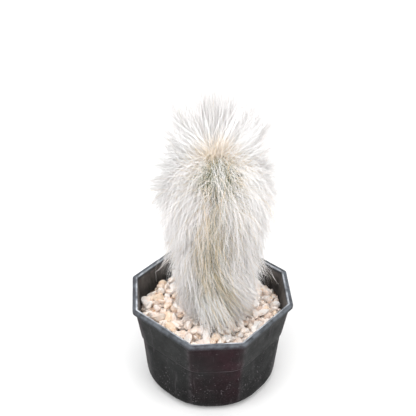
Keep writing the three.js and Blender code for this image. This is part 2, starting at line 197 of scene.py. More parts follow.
class Nodes:
    """A short way to write a material's nodes: each method adds one and returns its output."""

    def __init__(self, name):
        self.material = bpy.data.materials.new(name)
        self.material.use_nodes = True
        self.tree = self.material.node_tree
        self.shader = self.tree.nodes["Principled BSDF"]

    def put(self, value, socket):
        """Sets a socket to a number or a colour, or links an output to it."""
        if isinstance(value, bpy.types.NodeSocket):
            self.tree.links.new(value, socket)
        elif hasattr(value, "__len__") and socket.type == "RGBA":
            socket.default_value = (*value[:3], 1)
        else:
            socket.default_value = value

    def add(self, kind, output=0, settings=None, **inputs):
        """Any node. Its inputs are given by name, with _ for a space."""
        node = self.tree.nodes.new(kind)
        for key, value in (settings or {}).items():
            setattr(node, key, value)
        for key, value in inputs.items():
            self.put(value, node.inputs[key.replace("_", " ")])
        return node.outputs[output]

    def where(self):
        return self.add("ShaderNodeTexCoord", "Object")

    def split(self, vector):
        """The three numbers of a vector."""
        node = self.tree.nodes.new("ShaderNodeSeparateXYZ")
        self.put(vector, node.inputs[0])
        return node.outputs[:]

    def tone(self):
        """The number that each point of the mesh carries."""
        return self.add("ShaderNodeAttribute", "Fac", {"attribute_name": "tone"})

    def strand(self):
        """A hair's place in the palette, and how far along the hair a point lies."""
        return self.split(self.add("ShaderNodeUVMap", settings={"uv_map": STRAND_MAP}))[:2]

    def stretched(self, vector, scale, turn=(0, 0, 0)):
        return self.add("ShaderNodeMapping", Vector=vector, Scale=scale, Rotation=turn)

    def noise(self, vector, scale, detail=3, roughness=0.5):
        inputs = {"Vector": vector, "Scale": scale, "Detail": detail, "Roughness": roughness}
        return self.add("ShaderNodeTexNoise", **inputs)

    def cells(self, vector, scale):
        """The distance to the nearest of many scattered points."""
        return self.add("ShaderNodeTexVoronoi", Vector=vector, Scale=scale)

    def ramp(self, value, *stops, hold=False):
        """A colour ramp over (place, colour) stops. Numbers stand for greys."""
        node = self.tree.nodes.new("ShaderNodeValToRGB")
        node.color_ramp.interpolation = "CONSTANT" if hold else "LINEAR"
        elements = node.color_ramp.elements
        while len(elements) < len(stops):
            elements.new(0.5)
        for element, (place_on, colour) in zip(elements, stops, strict=True):
            element.position = place_on
            colour = colour if hasattr(colour, "__len__") else (colour,) * 3
            element.color = (*colour, 1)
        self.put(value, node.inputs["Fac"])
        return node.outputs["Color"]

    def mix(self, share, a, b, kind="MIX"):
        node = self.tree.nodes.new("ShaderNodeMix")
        node.data_type = "RGBA"
        node.blend_type = kind
        for socket, value in ((0, share), (6, a), (7, b)):
            self.put(value, node.inputs[socket])
        return node.outputs[2]

    def shaded(self, base, by, share=1):
        """A colour multiplied by another, or by that share of it."""
        return self.mix(share, base, by, "MULTIPLY")

    def math(self, operation, *values):
        node = self.tree.nodes.new("ShaderNodeMath")
        node.operation = operation
        for socket, value in zip(node.inputs, values, strict=False):
            self.put(value, socket)
        return node.outputs[0]

    def times(self, a, b):
        return self.math("MULTIPLY", a, b)

    def larger(self, a, b):
        return self.math("MAXIMUM", a, b)

    def bump(self, height, strength, distance, **normal):
        inputs = {"Height": height, "Strength": strength, "Distance": distance, **normal}
        return self.add("ShaderNodeBump", **inputs)

    def finish(self, **inputs):
        """Sets the shader's inputs and gives the material."""
        for key, value in inputs.items():
            self.put(value, self.shader.inputs[key.replace("_", " ")])
        return self.material


# ---- Properties ----


def colour_setting(name, description, default):
    """A colour that the panel shows."""
    return FloatVectorProperty(name=name, description=description, subtype="COLOR", default=default)


def length_setting(name, description, default):
    """A length that the panel shows."""
    return FloatProperty(name=name, description=description, unit="LENGTH", default=default)


def whole_setting(name, description, default):
    """A whole number that the panel shows."""
    return IntProperty(name=name, description=description, default=default)


class PotSettings(bpy.types.PropertyGroup):
    plastic: colour_setting("Plastic", "Colour of the pot's wall", (0.011, 0.0115, 0.0115))
    # Brown cast: partly the plastic's own brown, partly painted shade on the short sides.
    brown_cast_and_shade: colour_setting(
        "Brown cast", "What the short sides turn towards in patches", (0.016, 0.005, 0.0078)
    )
    # Worn lip: partly rubbed plastic, partly a painted sheen where the lip's top catches the light.
    worn_and_sheen_lip: colour_setting("Worn lip", "Colour of the rubbed, paler lip", (0.105, 0.115, 0.13))
    inside: colour_setting("Inside", "Colour of the wall inside", (0.05, 0.046, 0.044))
    # Also the colour of the painted highlight along the shoulder step.
    dust_and_highlight: colour_setting("Dust", "Colour of the specks and scuffs on the wall", (0.22, 0.19, 0.21))


class GravelSettings(bpy.types.PropertyGroup):
    stone_size: length_setting("Stone size", "Middle length of a stone chip", 6.6 * MM)
    seed: whole_setting("Seed", "Which scatter of stones is laid", 7)


class HairSettings(bpy.types.PropertyGroup):
    coat_radius: length_setting(
        "Coat radius", "From the stem's axis to the outside of the hair", 34.5 * MM
    )
    hair_radius: length_setting("Hair radius", "Radius of one hair at its root", 0.12 * MM)
    hairs_per_lock: whole_setting("Hairs per lock", "Hairs in one lock of the coat", 4)
    seed: whole_setting("Seed", "Which fall of hair is drawn", 11)


# ---- Pot ----

CORNER_POINTS = 9
FLAT_POINTS = 6


def section(short, long, rounding, height):
    """Rings of the pot's section: eight straight sides joined by arcs. Arguments: one value a ring.

    Side k faces the angle k * 45 degrees, at the short or the long side's distance from the axis
    in turn. The arc to the next side has its centre one rounding inside both lines. Between two
    arcs, the side is cut into equal steps. Points are complex numbers, x + iy, until the end.
    """
    columns = (np.asarray(values, float)[:, None] for values in (short, long, rounding, height))
    short, long, rounding, height = columns
    arcs = rounding * np.exp(1j * TURN * np.linspace(0, 1, CORNER_POINTS))
    flats = np.arange(1, FLAT_POINTS) / FLAT_POINTS
    rings = []
    for side in range(SIDES):
        here, other = (long, short) if side % 2 else (short, long)
        reach = (other - here * math.cos(TURN)) / math.sin(TURN) - rounding * math.tan(TURN / 2)
        flat = here + 1j * blend(-reach, reach, flats)
        arc = here - rounding + 1j * reach + arcs
        rings.append(np.concatenate([flat, arc], 1) * np.exp(1j * side * TURN))
    rings = np.concatenate(rings, 1)
    return np.stack([rings.real, rings.imag, np.broadcast_to(height, rings.shape)], -1)


def wall_reach(height):
    """Distances from the axis to a short and to a long side of the wall: straight from the lip's
    foot down to the shoulder, a small step in there, and straight again down to one radius for
    both at the foot."""
    if height >= SHOULDER_HEIGHT:
        share = (LIP_FOOT - height) / (LIP_FOOT - SHOULDER_HEIGHT)
        return LIP_REACH - LIP_OVERHANG - UPPER_TAPER * share
    at_shoulder = LIP_REACH - LIP_OVERHANG - UPPER_TAPER - SHOULDER_STEP
    return blend(FOOT_RADIUS, at_shoulder, max(height, 0) / SHOULDER_HEIGHT)


def wall_corner(height, inwards=0.0, soft=0.0, reach=None, z=None):
    """One corner of the pot's profile: both distances, the corner rounding, the height, and the
    radius that softens the corner."""
    short, long = wall_reach(height) if reach is None else reach
    rounding = blend(CORNER_ROUNDING_FOOT, CORNER_ROUNDING_LIP, height / POT_HEIGHT) - inwards
    distances = short - inwards, long - inwards
    return (*distances, max(rounding, 1 * MM), height if z is None else z, soft)


def lip_corner(inwards, z, soft):
    """A corner of the profile so far inwards from the lip's outside."""
    return wall_corner(POT_HEIGHT, inwards, soft, LIP_REACH, z)


def inner_corner(height, soft=0.0, clearance=0.0):
    """A corner of the profile on the wall's inside, with the clearance further in."""
    return wall_corner(min(height, LIP_FOOT), WALL + clearance, soft, z=height)


def softened(corners, steps=6):
    """A polyline through corners (columns: short, long, rounding, height, radius), each rounded.

    Round a corner c the curve is (1-t)^2 a + 2t(1-t) c + t^2 b, where a and b lie one radius along
    the two lines from the corner, or half their length where that is shorter.
    """
    corners = np.array(corners, float)
    points, radii = corners[:, :4], corners[:, 4]
    result = [points[:1]]
    t = np.linspace(0, 1, steps)[:, None]
    for i in range(1, len(points) - 1):
        back, forth = points[i - 1] - points[i], points[i + 1] - points[i]
        lengths = [np.hypot(way[0], way[3]) for way in (back, forth)]
        a = points[i] + back * min(radii[i] / lengths[0], 0.48)
        b = points[i] + forth * min(radii[i] / lengths[1], 0.48)
        result.append((1 - t) ** 2 * a + 2 * t * (1 - t) * points[i] + t**2 * b)
    result.append(points[-1:])
    return np.concatenate(result)


def foot_curve():
    """The quarter turn under the wall: inwards by r (1 - sin q) at the height r (1 - cos q)."""
    turns = np.linspace(0, math.pi / 2, 9)
    return [
        wall_corner(FOOT_ROUNDING * (1 - math.cos(q)), FOOT_ROUNDING * (1 - math.sin(q)), 0.1 * MM)
        for q in turns
    ]


def pot_profile():
    """The pot's closed section: from under the floor's middle out over the foot ring, up the
    outside, over the lip and down the inside to the floor's middle."""
    floor_top = FOOT_RECESS + FLOOR_THICKNESS
    ring = FOOT_ROUNDING + FOOT_RING_WIDTH
    middle = FOOT_RADIUS - 3 * MM  # how far inwards the two ends lie
    soft = 0.6 * MM
    return softened(
        [
            wall_corner(0, middle, z=FOOT_RECESS),
            wall_corner(0, ring + WALL, soft, z=FOOT_RECESS),
            wall_corner(0, ring, soft),
            *foot_curve(),
            wall_corner(25 * MM, 0, 0.1 * MM),
            wall_corner(SHOULDER_HEIGHT - SHOULDER_STEP, 0, soft),
            wall_corner(SHOULDER_HEIGHT, 0, soft),
            wall_corner(55 * MM, 0, 0.1 * MM),
            wall_corner(LIP_FOOT, 0, soft),
            lip_corner(0.3 * MM, LIP_FOOT + 0.1 * MM, soft),
            lip_corner(0, POT_HEIGHT, 1.1 * MM),
            lip_corner(LIP_OVERHANG + WALL, POT_HEIGHT, 1.0 * MM),
            inner_corner(LIP_FOOT, soft),
            inner_corner(SHOULDER_HEIGHT, soft),
            inner_corner(SHOULDER_HEIGHT - SHOULDER_STEP, soft),
            inner_corner(FOOT_ROUNDING, soft),
            wall_corner(floor_top, FLOOR_INSET, soft),
            wall_corner(0, middle, z=floor_top),
        ]
    ).T


def capped(rings):
    """Points and faces of a stack of closed rings, with a fan over the first and the last."""
    rows, columns = rings.shape[:2]
    ends = [rings[0].mean(axis=0), rings[-1].mean(axis=0)]
    points = np.concatenate([rings.reshape(-1, 3), ends])
    here = np.arange(columns)
    after = (here + 1) % columns
    last = (rows - 1) * columns
    under = np.column_stack([np.full(columns, len(points) - 2), after, here])
    over = np.column_stack([np.full(columns, len(points) - 1), last + here, last + after])
    return points, grid_faces(rows, columns), np.concatenate([under, over])


def cut_drains(pot):
    """Cuts the drain holes out of the floor with a ring of round plugs."""
    circle = np.exp(2j * np.pi * np.arange(DRAIN_SIDES) / DRAIN_SIDES)
    for drain in range(DRAIN_COUNT):
        middle = DRAIN_CIRCLE_RADIUS * np.exp(2j * np.pi * (drain + 0.5) / DRAIN_COUNT)
        ring = middle + DRAIN_RADIUS * circle
        ends = (np.full(DRAIN_SIDES, z) for z in (-FLOOR_THICKNESS, 4 * FLOOR_THICKNESS))
        rings = np.stack([np.column_stack([ring.real, ring.imag, end]) for end in ends])
        plug = mesh_piece("drain_plug", *capped(rings), pot.data.materials[0], flat=True)
        cut = pot.modifiers.new("drain", "BOOLEAN")
        cut.operation, cut.solver, cut.object = "DIFFERENCE", "EXACT", plug
        with bpy.context.temp_override(object=pot):
            bpy.ops.object.modifier_apply(modifier=cut.name)
        bpy.data.objects.remove(plug)


def plastic_material(settings):
    """Matte charcoal plastic: browner and darker on the short sides, partly its own brown cast and partly
    painted shade, and darker towards the bottom, a painted shade. It is paler where it is rubbed at
    the corners and at the lip, whose paleness is partly a painted sheen, with a painted highlight along
    its edge; it has dust specks, a step that is dusty and carries a painted highlight, and dried water
    marks inside, painted darker lower down and paler at the top."""
    n = Nodes("pot_plastic")
    where = n.where()
    x, y, height = n.split(where)
    up = n.times(height, 1 / POT_HEIGHT)
    # How far the angle lies from the middle of the nearest short side: 0 there, 1 at 45 degrees.
    turn = n.times(n.math("ARCTAN2", y, x), 1 / (2 * TURN))
    off_side = n.times(n.math("PINGPONG", n.math("ADD", turn, 8), 0.5), 2)
    uneven = n.math("SUBTRACT", n.noise(where, 120), 0.5)
    off_side = n.math("MULTIPLY_ADD", uneven, 0.05, off_side)
    # The short sides turn browner and darker in patches: partly the plastic's own brown cast, partly
    # painted shade.
    short = n.ramp(off_side, (0.42, 1), (0.50, 0))
    corner = n.ramp(off_side, (0.42, 0), (0.46, 1), (0.55, 0))
    cast_and_shade_patches = n.ramp(n.noise(where, 28, 4, 0.6), (0.38, 0.1), (0.66, 1))
    base = n.mix(n.times(short, cast_and_shade_patches), settings.plastic, settings.brown_cast_and_shade)
    base = n.shaded(base, n.ramp(n.noise(where, 90, 5, 0.65), (0.35, 0.7), (0.7, 1.4)))
    # Darker towards the bottom and a little lighter near the top: painted shade and light.
    base = n.shaded(base, n.ramp(up, (0.1, 0.45), (0.65, 1.1)))
    # Dust: specks and fine dots that thicken downwards, scuffs and rubbed corners; along the shoulder
    # step, dust and a painted highlight of its edge.
    lower = n.ramp(up, (0.2, 1), (0.75, 0))
    specks = n.ramp(n.noise(where, 900, 2), (0.62, 0), (0.72, 1))
    few = n.ramp(n.noise(where, 150), (0.42, 0.1), (0.58, 1))
    specks = n.times(n.times(specks, few), n.math("MULTIPLY_ADD", lower, 0.7, 0.3))
    fine = n.times(n.ramp(n.cells(where, 1100), (0.1, 1), (0.3, 0)), n.times(lower, 0.16))
    worn = n.times(corner, n.ramp(n.noise(where, 260, 5, 0.7), (0.4, 0.0), (0.65, 0.16)))
    scuffs = n.noise(n.stretched(where, (1, 1, 0.14), (0.5, 0.3, 0)), 260, 4, 0.7)
    scuffs = n.ramp(scuffs, (0.60, 0), (0.74, 0.16))
    # The shoulder step's pale line: partly dust, partly a painted highlight where its edge catches the
    # light.
    off_step = n.math("MULTIPLY_ADD", height, 1 / MM, 0.2 - SHOULDER_HEIGHT / MM)
    step = n.ramp(n.math("ABSOLUTE", off_step), (0.3, 1), (0.8, 0))
    step = n.times(step, n.ramp(n.noise(where, 60, 4), (0.45, 0), (0.65, 0.5)))
    dust_and_step_highlight = n.larger(n.larger(n.times(specks, 0.6), scuffs), n.larger(fine, n.larger(worn, step)))
    base = n.mix(dust_and_step_highlight, base, settings.dust_and_highlight)
    # Inside: water marks, and darker lower down and paler towards the top, which is painted shade and
    # light.
    marks = n.noise(n.stretched(where, (1, 1, 0.5)), 70, 5, 0.7)
    stains_and_painted_light = n.mix(n.ramp(marks, (0.35, 0), (0.7, 1)), settings.inside, (0.20, 0.195, 0.19))
    stains_and_painted_light = n.shaded(stains_and_painted_light, n.ramp(up, (0.8, 0.6), (0.95, 1.3)))
    inside = n.tone()
    base = n.mix(n.ramp(inside, (0.6, 0), (0.95, 0.9)), base, stains_and_painted_light)
    # The lip: paler, partly rubbed and partly a painted sheen, with a painted highlight along its edge.
    lip = n.math("MULTIPLY_ADD", height, 1 / (4 * MM), (3.4 * MM - POT_HEIGHT) / (4 * MM))
    lip = n.ramp(lip, (0, 0), (0.45, 0.5), (0.8, 1))
    rubbed_and_sheen = n.ramp(n.noise(where, 210, 5, 0.7), (0.35, 0.35), (0.6, 1))
    base = n.mix(n.times(lip, rubbed_and_sheen), base, settings.worn_and_sheen_lip)
    # A painted highlight along the inner edge of the lip, broken up by noise.
    highlight_band = n.ramp(inside, (0.34, 0), (0.45, 1), (0.56, 1), (0.68, 0))
    painted_glint = n.ramp(n.noise(where, 90, 5, 0.7), (0.38, 0.1), (0.62, 1))
    base = n.mix(n.times(highlight_band, painted_glint), base, (0.50, 0.53, 0.57))
    rough = n.ramp(n.noise(where, 120, 4, 0.6), (0.3, 0.4), (0.7, 0.6))
    normal = n.bump(n.noise(where, 900, 3, 0.6), 0.25, 0.0002, Normal=n.bump(specks, 0.3, 0.0002))
    return n.finish(Base_Color=base, Roughness=rough, Normal=normal, Specular_IOR_Level=0.06)


class CACTUS_OT_make_pot(bpy.types.Operator):
    """Makes the eight-sided plastic pot with its lip, shoulder, rounded foot and drain holes"""

    bl_idname = "cactus.make_pot"
    bl_label = "Make Pot"

    def execute(self, context):
        material = plastic_material(context.scene.cactus_pot)
        profile = pot_profile()
        points, quads, triangles = capped(section(*profile))
        # The tone is 0 outside, 0.5 to 0.7 across the top of the lip, and 1 inside the wall.
        ring = np.arange(profile.shape[1]) - np.argmax(profile[3] >= POT_HEIGHT - 0.01 * MM)
        tone = np.interp(ring, [0, 1, 6, 7], [0, 0.5, 0.7, 1])
        tone = np.append(np.repeat(tone, len(points) // len(tone)), [0, 1])
        pot = mesh_piece("flowerpot", points, quads, triangles, material, tone=tone)
        cut_drains(pot)
        place(pot, "pot")
        return {"FINISHED"}


# ---- Soil ----


def soil_material():
    """Sandy crumbly compost."""
    n = Nodes("compost")
    where = n.where()
    colour = n.ramp(n.noise(where, 260, 5, 0.7), (0.3, (0.12, 0.078, 0.05)), (0.7, (0.42, 0.31, 0.22)))
    return n.finish(Base_Color=colour, Roughness=0.95, Normal=n.bump(n.cells(where, 500), 0.8, 0.001))


class CACTUS_OT_make_soil(bpy.types.Operator):
    """Makes the plug of compost that fills the pot under the stones"""

    bl_idname = "cactus.make_soil"
    bl_label = "Make Soil"

    def execute(self, context):
        top = SOIL_BOX[1][2] + 2.5 * MM
        floor = FOOT_RECESS + FLOOR_THICKNESS + FIT
        heights = (FOOT_ROUNDING + FIT, 25 * MM, SHOULDER_HEIGHT - SHOULDER_STEP, SHOULDER_HEIGHT, top)
        corners = [wall_corner(floor, FLOOR_INSET + FIT)]
        corners += [inner_corner(height, clearance=FIT) for height in heights]
        rings = section(*np.array(corners)[:, :4].T)
        # Rings that shrink to the middle lie over it in low heaps, as sin(x) cos(y).
        lid = rings[-1:] * np.array([1, 1, 0]) * np.arange(0.9, 0.1, -0.15)[:, None, None]
        lid[..., 2] = top + np.sin(lid[..., 0] * 900) * np.cos(lid[..., 1] * 1100) * 0.8 * MM
        soil = mesh_piece("compost", *capped(np.concatenate([rings, lid])), soil_material())
        place(soil, "soil")
        return {"FINISHED"}


# ---- Stone chips ----

# Layers of stones, the fines first: their spacing, how high they lie and rise towards the stem,
# and how far they keep from the wall and from the stem's axis. Spacing and wall are in sizes.
STONE_LAYERS = ((0.52, 2.8, 0.5, 0.25, 13), (0.95, 3.2, 0.5, 0.42, 13), (0.9, 6.6, 1.8, 0.4, 15))
FINES_SIZE = 0.6
CHIP_PLANES = 7
CHIP_REACH = 1.2  # of an uncut corner, as a share of the stone's half length
CHIP_STRETCH = ((0.85, 1.25), (0.6, 0.95), (0.42, 0.75))  # the range along each axis

# The stones' colours by their tone, from 0 to 1.
MARBLE_TONES = (
    (0.0, (0.98, 0.95, 0.92)),
    (0.2, (0.97, 0.92, 0.87)),
    (0.4, (0.96, 0.84, 0.76)),
    (0.55, (0.98, 0.97, 0.96)),
    (0.7, (0.95, 0.82, 0.74)),
    (0.84, (0.94, 0.78, 0.62)),
    (0.93, (0.80, 0.75, 0.71)),
    (1.0, (0.90, 0.63, 0.38)),
)


def ball(levels):
    """An icosahedron whose faces are cut in four, so many times, with its points pushed out to the
    unit ball. Returns points and triangles."""
    golden = (1 + math.sqrt(5)) / 2
    points = []
    for a, b in ((1, golden), (-1, golden), (1, -golden), (-1, -golden)):
        points += [(0, a, b), (a, b, 0), (b, 0, a)]
    points = unit(np.array(points))
    near = np.linalg.norm(points[:, None] - points[None], axis=2) < 1.2
    threes = itertools.combinations(range(12), 3)
    triangles = np.array([(i, j, k) for i, j, k in threes if near[i, j] and near[j, k] and near[i, k]])
    for _ in range(levels):
        edges = np.sort(triangles[:, [0, 1, 1, 2, 2, 0]].reshape(-1, 2), axis=1)
        unique, inverse = np.unique(edges, axis=0, return_inverse=True)
        ab, bc, ca = (inverse.reshape(-1, 3) + len(points)).T
        a, b, c = triangles.T
        points = np.concatenate([points, unit(points[unique].mean(axis=1))])
        quarters = ((a, ab, ca), (b, bc, ab), (c, ca, bc), (ab, bc, ca))
        triangles = np.concatenate([np.column_stack(quarter) for quarter in quarters])
    p, q, r = points[triangles.T]
    inward = (np.cross(q - p, r - p) * p).sum(axis=1) < 0
    triangles[inward] = triangles[inward][:, ::-1]
    return points, triangles


def chips(random, places, size):
    """Stone chips at the given places: one ball for each, cut by flat planes.

    Along a direction d, a chip reaches min(c / (n . d)) over its planes, each with normal n and
    distance c from the middle. It is then stretched, turned and shifted to its place.
    """
    points, triangles = ball(1)
    count = len(places)
    normals = unit(random.normal(size=(count, CHIP_PLANES, 3)))
    distances = random.uniform(0.45, 0.9, (count, CHIP_PLANES, 1))
    facing = np.einsum("npk,vk->npv", normals, points)
    reach = np.where(facing > 0.05, distances / np.maximum(facing, 0.05), 9).min(axis=1)
    shape = points[None] * np.minimum(reach, CHIP_REACH)[..., None]
    stretch = np.stack([random.uniform(low, high, count) for low, high in CHIP_STRETCH], 1)
    shape *= (stretch * size[:, None] / 2)[:, None]
    tilt = random.normal(size=(count, 2)).T * 0.6
    spin = random.uniform(0, 2 * np.pi, count)
    for angle, plane in ((tilt[0], (1, 2)), (tilt[1], (0, 2)), (spin, (0, 1))):
        shape = turned(shape, angle, plane)
    faces = triangles[None] + (np.arange(count) * len(points))[:, None, None]
    return shape + places[:, None], faces.reshape(-1, 3)


def turned(points, angle, plane):
    """Points turned by one angle for each group, in the plane of two axes."""
    a, b = plane
    cos, sin = np.cos(angle)[:, None], np.sin(angle)[:, None]
    result = points.copy()
    result[..., a] = points[..., a] * cos - points[..., b] * sin
    result[..., b] = points[..., a] * sin + points[..., b] * cos
    return result


def depth_inside(x, y, inwards):
    """How far a point lies inside the wall at the stones' height, moved inwards: the least of its
    distances from the short sides' lines and from the long sides' lines."""
    short, long = wall_reach(float(STONE_HEIGHT)) - inwards
    to_short = short - np.maximum(np.abs(x), np.abs(y))
    to_long = long - (np.abs(x) + np.abs(y)) * math.sqrt(0.5)
    return np.minimum(to_short, to_long)


def scattered(random, spacing, height, rise, inwards, clear):
    """Places in a staggered grid, pushed off it at random, inside the pot and outside the stem.
    They rise towards the stem."""
    reach = int(60 * MM / spacing) + 1
    row, column = np.mgrid[-reach : reach + 1, -reach : reach + 1]
    x = spacing * (column + 0.5 * (row % 2))
    y = spacing * row * math.sin(math.pi / 3)
    x, y = (v.ravel() + random.uniform(-0.3, 0.3, v.size) * spacing for v in (x, y))
    from_stem = np.hypot(x - STEM_X, y)
    keep = (depth_inside(x, y, inwards) > 0) & (from_stem > clear)
    x, y, from_stem = x[keep], y[keep], from_stem[keep]
    z = height + rise * smooth(from_stem, 42 * MM, 16 * MM) + random.normal(size=len(x)) * 0.55 * MM
    return np.stack([x, y, z], 1)


def chip_material():
    """Chipped marble: each stone has its own tone, with veins, rusty patches and a fine grain."""
    n = Nodes("marble_chips")
    where = n.where()
    base = n.ramp(n.tone(), *MARBLE_TONES)
    veins = n.ramp(n.noise(where, 240, 6, 0.7), (0.45, 1), (0.62, (0.96, 0.83, 0.73)))
    base = n.shaded(base, veins, 0.8)
    rust = n.ramp(n.noise(where, 130, 5, 0.7), (0.62, 0), (0.74, 0.55))
    base = n.mix(rust, base, (0.80, 0.48, 0.28))
    chipped = n.bump(n.cells(where, 620), 0.35, 0.0006)
    normal = n.bump(n.noise(where, 1500, 4, 0.7), 0.35, 0.0004, Normal=chipped)
    return n.finish(Base_Color=base, Roughness=0.6, Normal=normal)


class CACTUS_OT_make_stones(bpy.types.Operator):
    """Scatters the layer of chipped stones over the soil"""

    bl_idname = "cactus.make_stones"
    bl_label = "Make Stones"

    def execute(self, context):
        settings = context.scene.cactus_gravel
        random = np.random.default_rng(settings.seed)
        size = settings.stone_size
        low = GRAVEL_BOX[0][2]
        layers = [
            scattered(random, every * size, low + up * MM, rise * MM, WALL + inwards * size, clear * MM)
            for every, up, rise, inwards, clear in STONE_LAYERS
        ]
        places = np.concatenate(layers)
        sizes = 1.06 * size * np.clip(random.lognormal(0, 0.24, len(places)), 0.6, 1.5)
        sizes[: len(layers[0])] *= FINES_SIZE
        shape, faces = chips(random, places, sizes)
        # A stone that would reach through the wall is moved back inside it.
        depth = depth_inside(shape[..., 0], shape[..., 1], WALL + FIT).min(axis=1)
        shape[..., :2] += (unit(places[:, :2]) * np.minimum(depth, 0)[:, None] * 1.3)[:, None]
        tone = np.repeat(random.uniform(0, 1, len(places)), shape.shape[1])
        points, none = shape.reshape(-1, 3), np.zeros((0, 4), int)
        stones = mesh_piece("stone_chips", points, none, faces, chip_material(), tone=tone, flat=True)
        place(stones, "gravel")
        return {"FINISHED"}


# ---- Stem ----


def stem_radius(height):
    """The stem over its ridges: a neck that swells into a column, under half of an ellipsoid."""
    column = blend(NECK_RADIUS, STEM_RADIUS, smooth(height, NECK_HEIGHT, 95 * MM))
    share = np.clip((height - STEM_SHOULDER) / (STEM_APEX - STEM_SHOULDER), 0, 1)
    return column * np.sqrt(1 - share**2)


def stem_material():
    """Grey-green skin with a waxy bloom."""
    n = Nodes("cactus_skin")
    where = n.where()
    mottled = n.noise(where, 180, 5, 0.6)
    colour = n.ramp(mottled, (0.3, (0.07, 0.085, 0.042)), (0.7, (0.17, 0.18, 0.10)))
    colour = n.mix(n.ramp(n.noise(where, 60, 4), (0.45, 0), (0.7, 0.5)), colour, (0.36, 0.38, 0.31))
    return n.finish(Base_Color=colour, Roughness=0.6, Normal=n.bump(mottled, 0.3, 0.0004))


class CACTUS_OT_make_stem(bpy.types.Operator):
    """Makes the ribbed green stem under the hair"""

    bl_idname = "cactus.make_stem"
    bl_label = "Make Stem"

    def execute(self, context):
        # Between ridges the radius is less by (1 - |cos(ribs a / 2)|)^1.3 of a rib's depth.
        foot = CACTUS_BOX[0][2]
        dome = np.sin(np.linspace(0, 1, 15)[1:-1] * np.pi / 2) * (STEM_APEX - STEM_SHOULDER)
        heights = np.concatenate([np.linspace(foot, STEM_SHOULDER, 40), STEM_SHOULDER + dome])
        root = NECK_RADIUS * blend(0.4, 1, smooth(heights, foot - 6 * MM, NECK_HEIGHT))
        radius = np.where(heights < NECK_HEIGHT, root, stem_radius(heights))[:, None]
        heights = heights[:, None]
        angle = np.linspace(0, 2 * np.pi, 8 * RIB_COUNT, endpoint=False)[None]
        furrow = (1 - np.abs(np.cos(angle * RIB_COUNT / 2))) ** 1.3
        furrow = furrow * smooth(heights, NECK_HEIGHT - 2 * MM, NECK_HEIGHT + 12 * MM)
        radius = radius * (1 - RIB_DEPTH * furrow / STEM_RADIUS)
        stem = mesh_piece("stem", *capped(around(angle, radius, 0, heights)), stem_material())
        place(stem, "old_man_cactus")
        return {"FINISHED"}


# ---- Hair and spines ----

# The palette's parts: where each starts on u, and a hair's colour at its tip and at its root.
PALETTE = (
    (0.0, (0.935, 0.915, 0.91), (0.86, 0.83, 0.79)),
    (0.42, (0.92, 0.865, 0.84), (0.88, 0.79, 0.71)),
    (0.58, (0.78, 0.775, 0.765), (0.62, 0.62, 0.57)),
    (0.72, (0.80, 0.64, 0.43), (0.54, 0.37, 0.19)),
    # The dark olive part: partly older, darker hair and partly painted shade for the shaded skin between
    # the locks.
    (0.82, (0.52, 0.49, 0.39), (0.20, 0.20, 0.115)),
    (0.90, (0.97, 0.965, 0.96), (0.90, 0.76, 0.60)),
    (0.96, (0.94, 0.83, 0.70), (0.84, 0.62, 0.40)),
)
STARTS = [row[0] for row in PALETTE]
WHITE, CREAM, GREY, TAN, OLIVE_AND_SHADE, CROWN, WOOL = zip(STARTS, [*STARTS[1:], 1.0], strict=True)

FRONT = math.radians(-94)  # the side that most hair parts from
COAT_ROWS = 21
LOCKS_PER_AREOLE = 9
UNDERCOAT_PER_AREOLE = 3
SPINES_PER_AREOLE = 2
UNDERCOAT_SEGMENTS = 4
COAT_SEGMENTS = 5
CROWN_SEGMENTS = 6
WOOL_SEGMENTS = 4
CROWN_TUFTS = 860
# Where the crown's locks end, in millimetres: the outermost in front and behind, then the inmost.
CROWN_TIP_RADII = ((37, 45), (31, 44))
CROWN_TIP_HEIGHTS = ((122, 108), (138, 214))
WOOL_TUFTS = 380
CROWN_SPINES = 520

# Where tan hairs, and dark olive ones that are partly painted shade, run down the coat: heights, the
# angle at each, width and strength.
STREAKS = (
    ((75, 85, 95, 115, 140, 165), (-70, -76, -88, -98, -99, -95), 10.0, 1.0),
    ((60, 70, 85, 100, 112), (-73, -86, -100, -106, -108), 8.0, 0.8),
    ((104, 125, 146), (-119, -118, -112), 6.0, 0.85),
)

WISP_REACH = 1.2  # how far a wisp is drawn past its tip in the table, as its hairs end before it

# Wisps that stand out of the coat and the crown. Columns: the angle and height of the root, then
# the tip's place across, back and up, all in degrees and millimetres, then the number of hairs.
WISPS = (
    (135, 168, -26, 33, 207, 130),
    (120, 170, -17, 32, 204, 110),
    (100, 173, -2, 35, 209, 150),
    (95, 172, 2, 36, 210, 110),
    (85, 172, 12, 36, 210, 100),
    (65, 170, 24, 34, 206, 120),
    (45, 167, 37, 30, 205, 140),
    (36, 167, 41, 22, 196, 100),
    (140, 167, -32, 20, 196, 90),
    (105, 172, -5, 36, 213, 110),
    (90, 173, 8, 36, 211, 100),
    (25, 164, 40, 6, 186, 80),
    (10, 160, 43, 2, 174, 80),
    (0, 160, 46, 0, 158, 90),
    (-5, 155, 48, 0, 148, 110),
    (-10, 146, 44, 0, 137, 90),
    (-15, 134, 39, -2, 122, 70),
    (128, 169, -24, 31, 204, 100),
    (110, 172, -9, 34, 209, 110),
    (74, 172, 18, 33, 208, 110),
    (55, 169, 28, 32, 206, 120),
    (35, 165, 36, 20, 192, 90),
    (150, 167, -34, 12, 190, 90),
    (170, 163, -42, 4, 174, 90),
    (180, 160, -45, 0, 164, 80),
    (185, 156, -45, 0, 153, 90),
    (192, 150, -42, -3, 143, 80),
    (200, 140, -38, -5, 128, 60),
    (-100, 88, 13, -35, 60, 150),
    (-106, 86, 6, -35, 60, 110),
    (-114, 82, -5, -34, 60, 90),
    (-92, 174, 1.5, -26, 152, 50),
)


def around(angle, radius, sideways, height):
    """Points by their angle round the stem, distance from its axis, shift sideways and height."""
    return outwards(angle, radius, sideways, height) + [STEM_X, 0, 0]


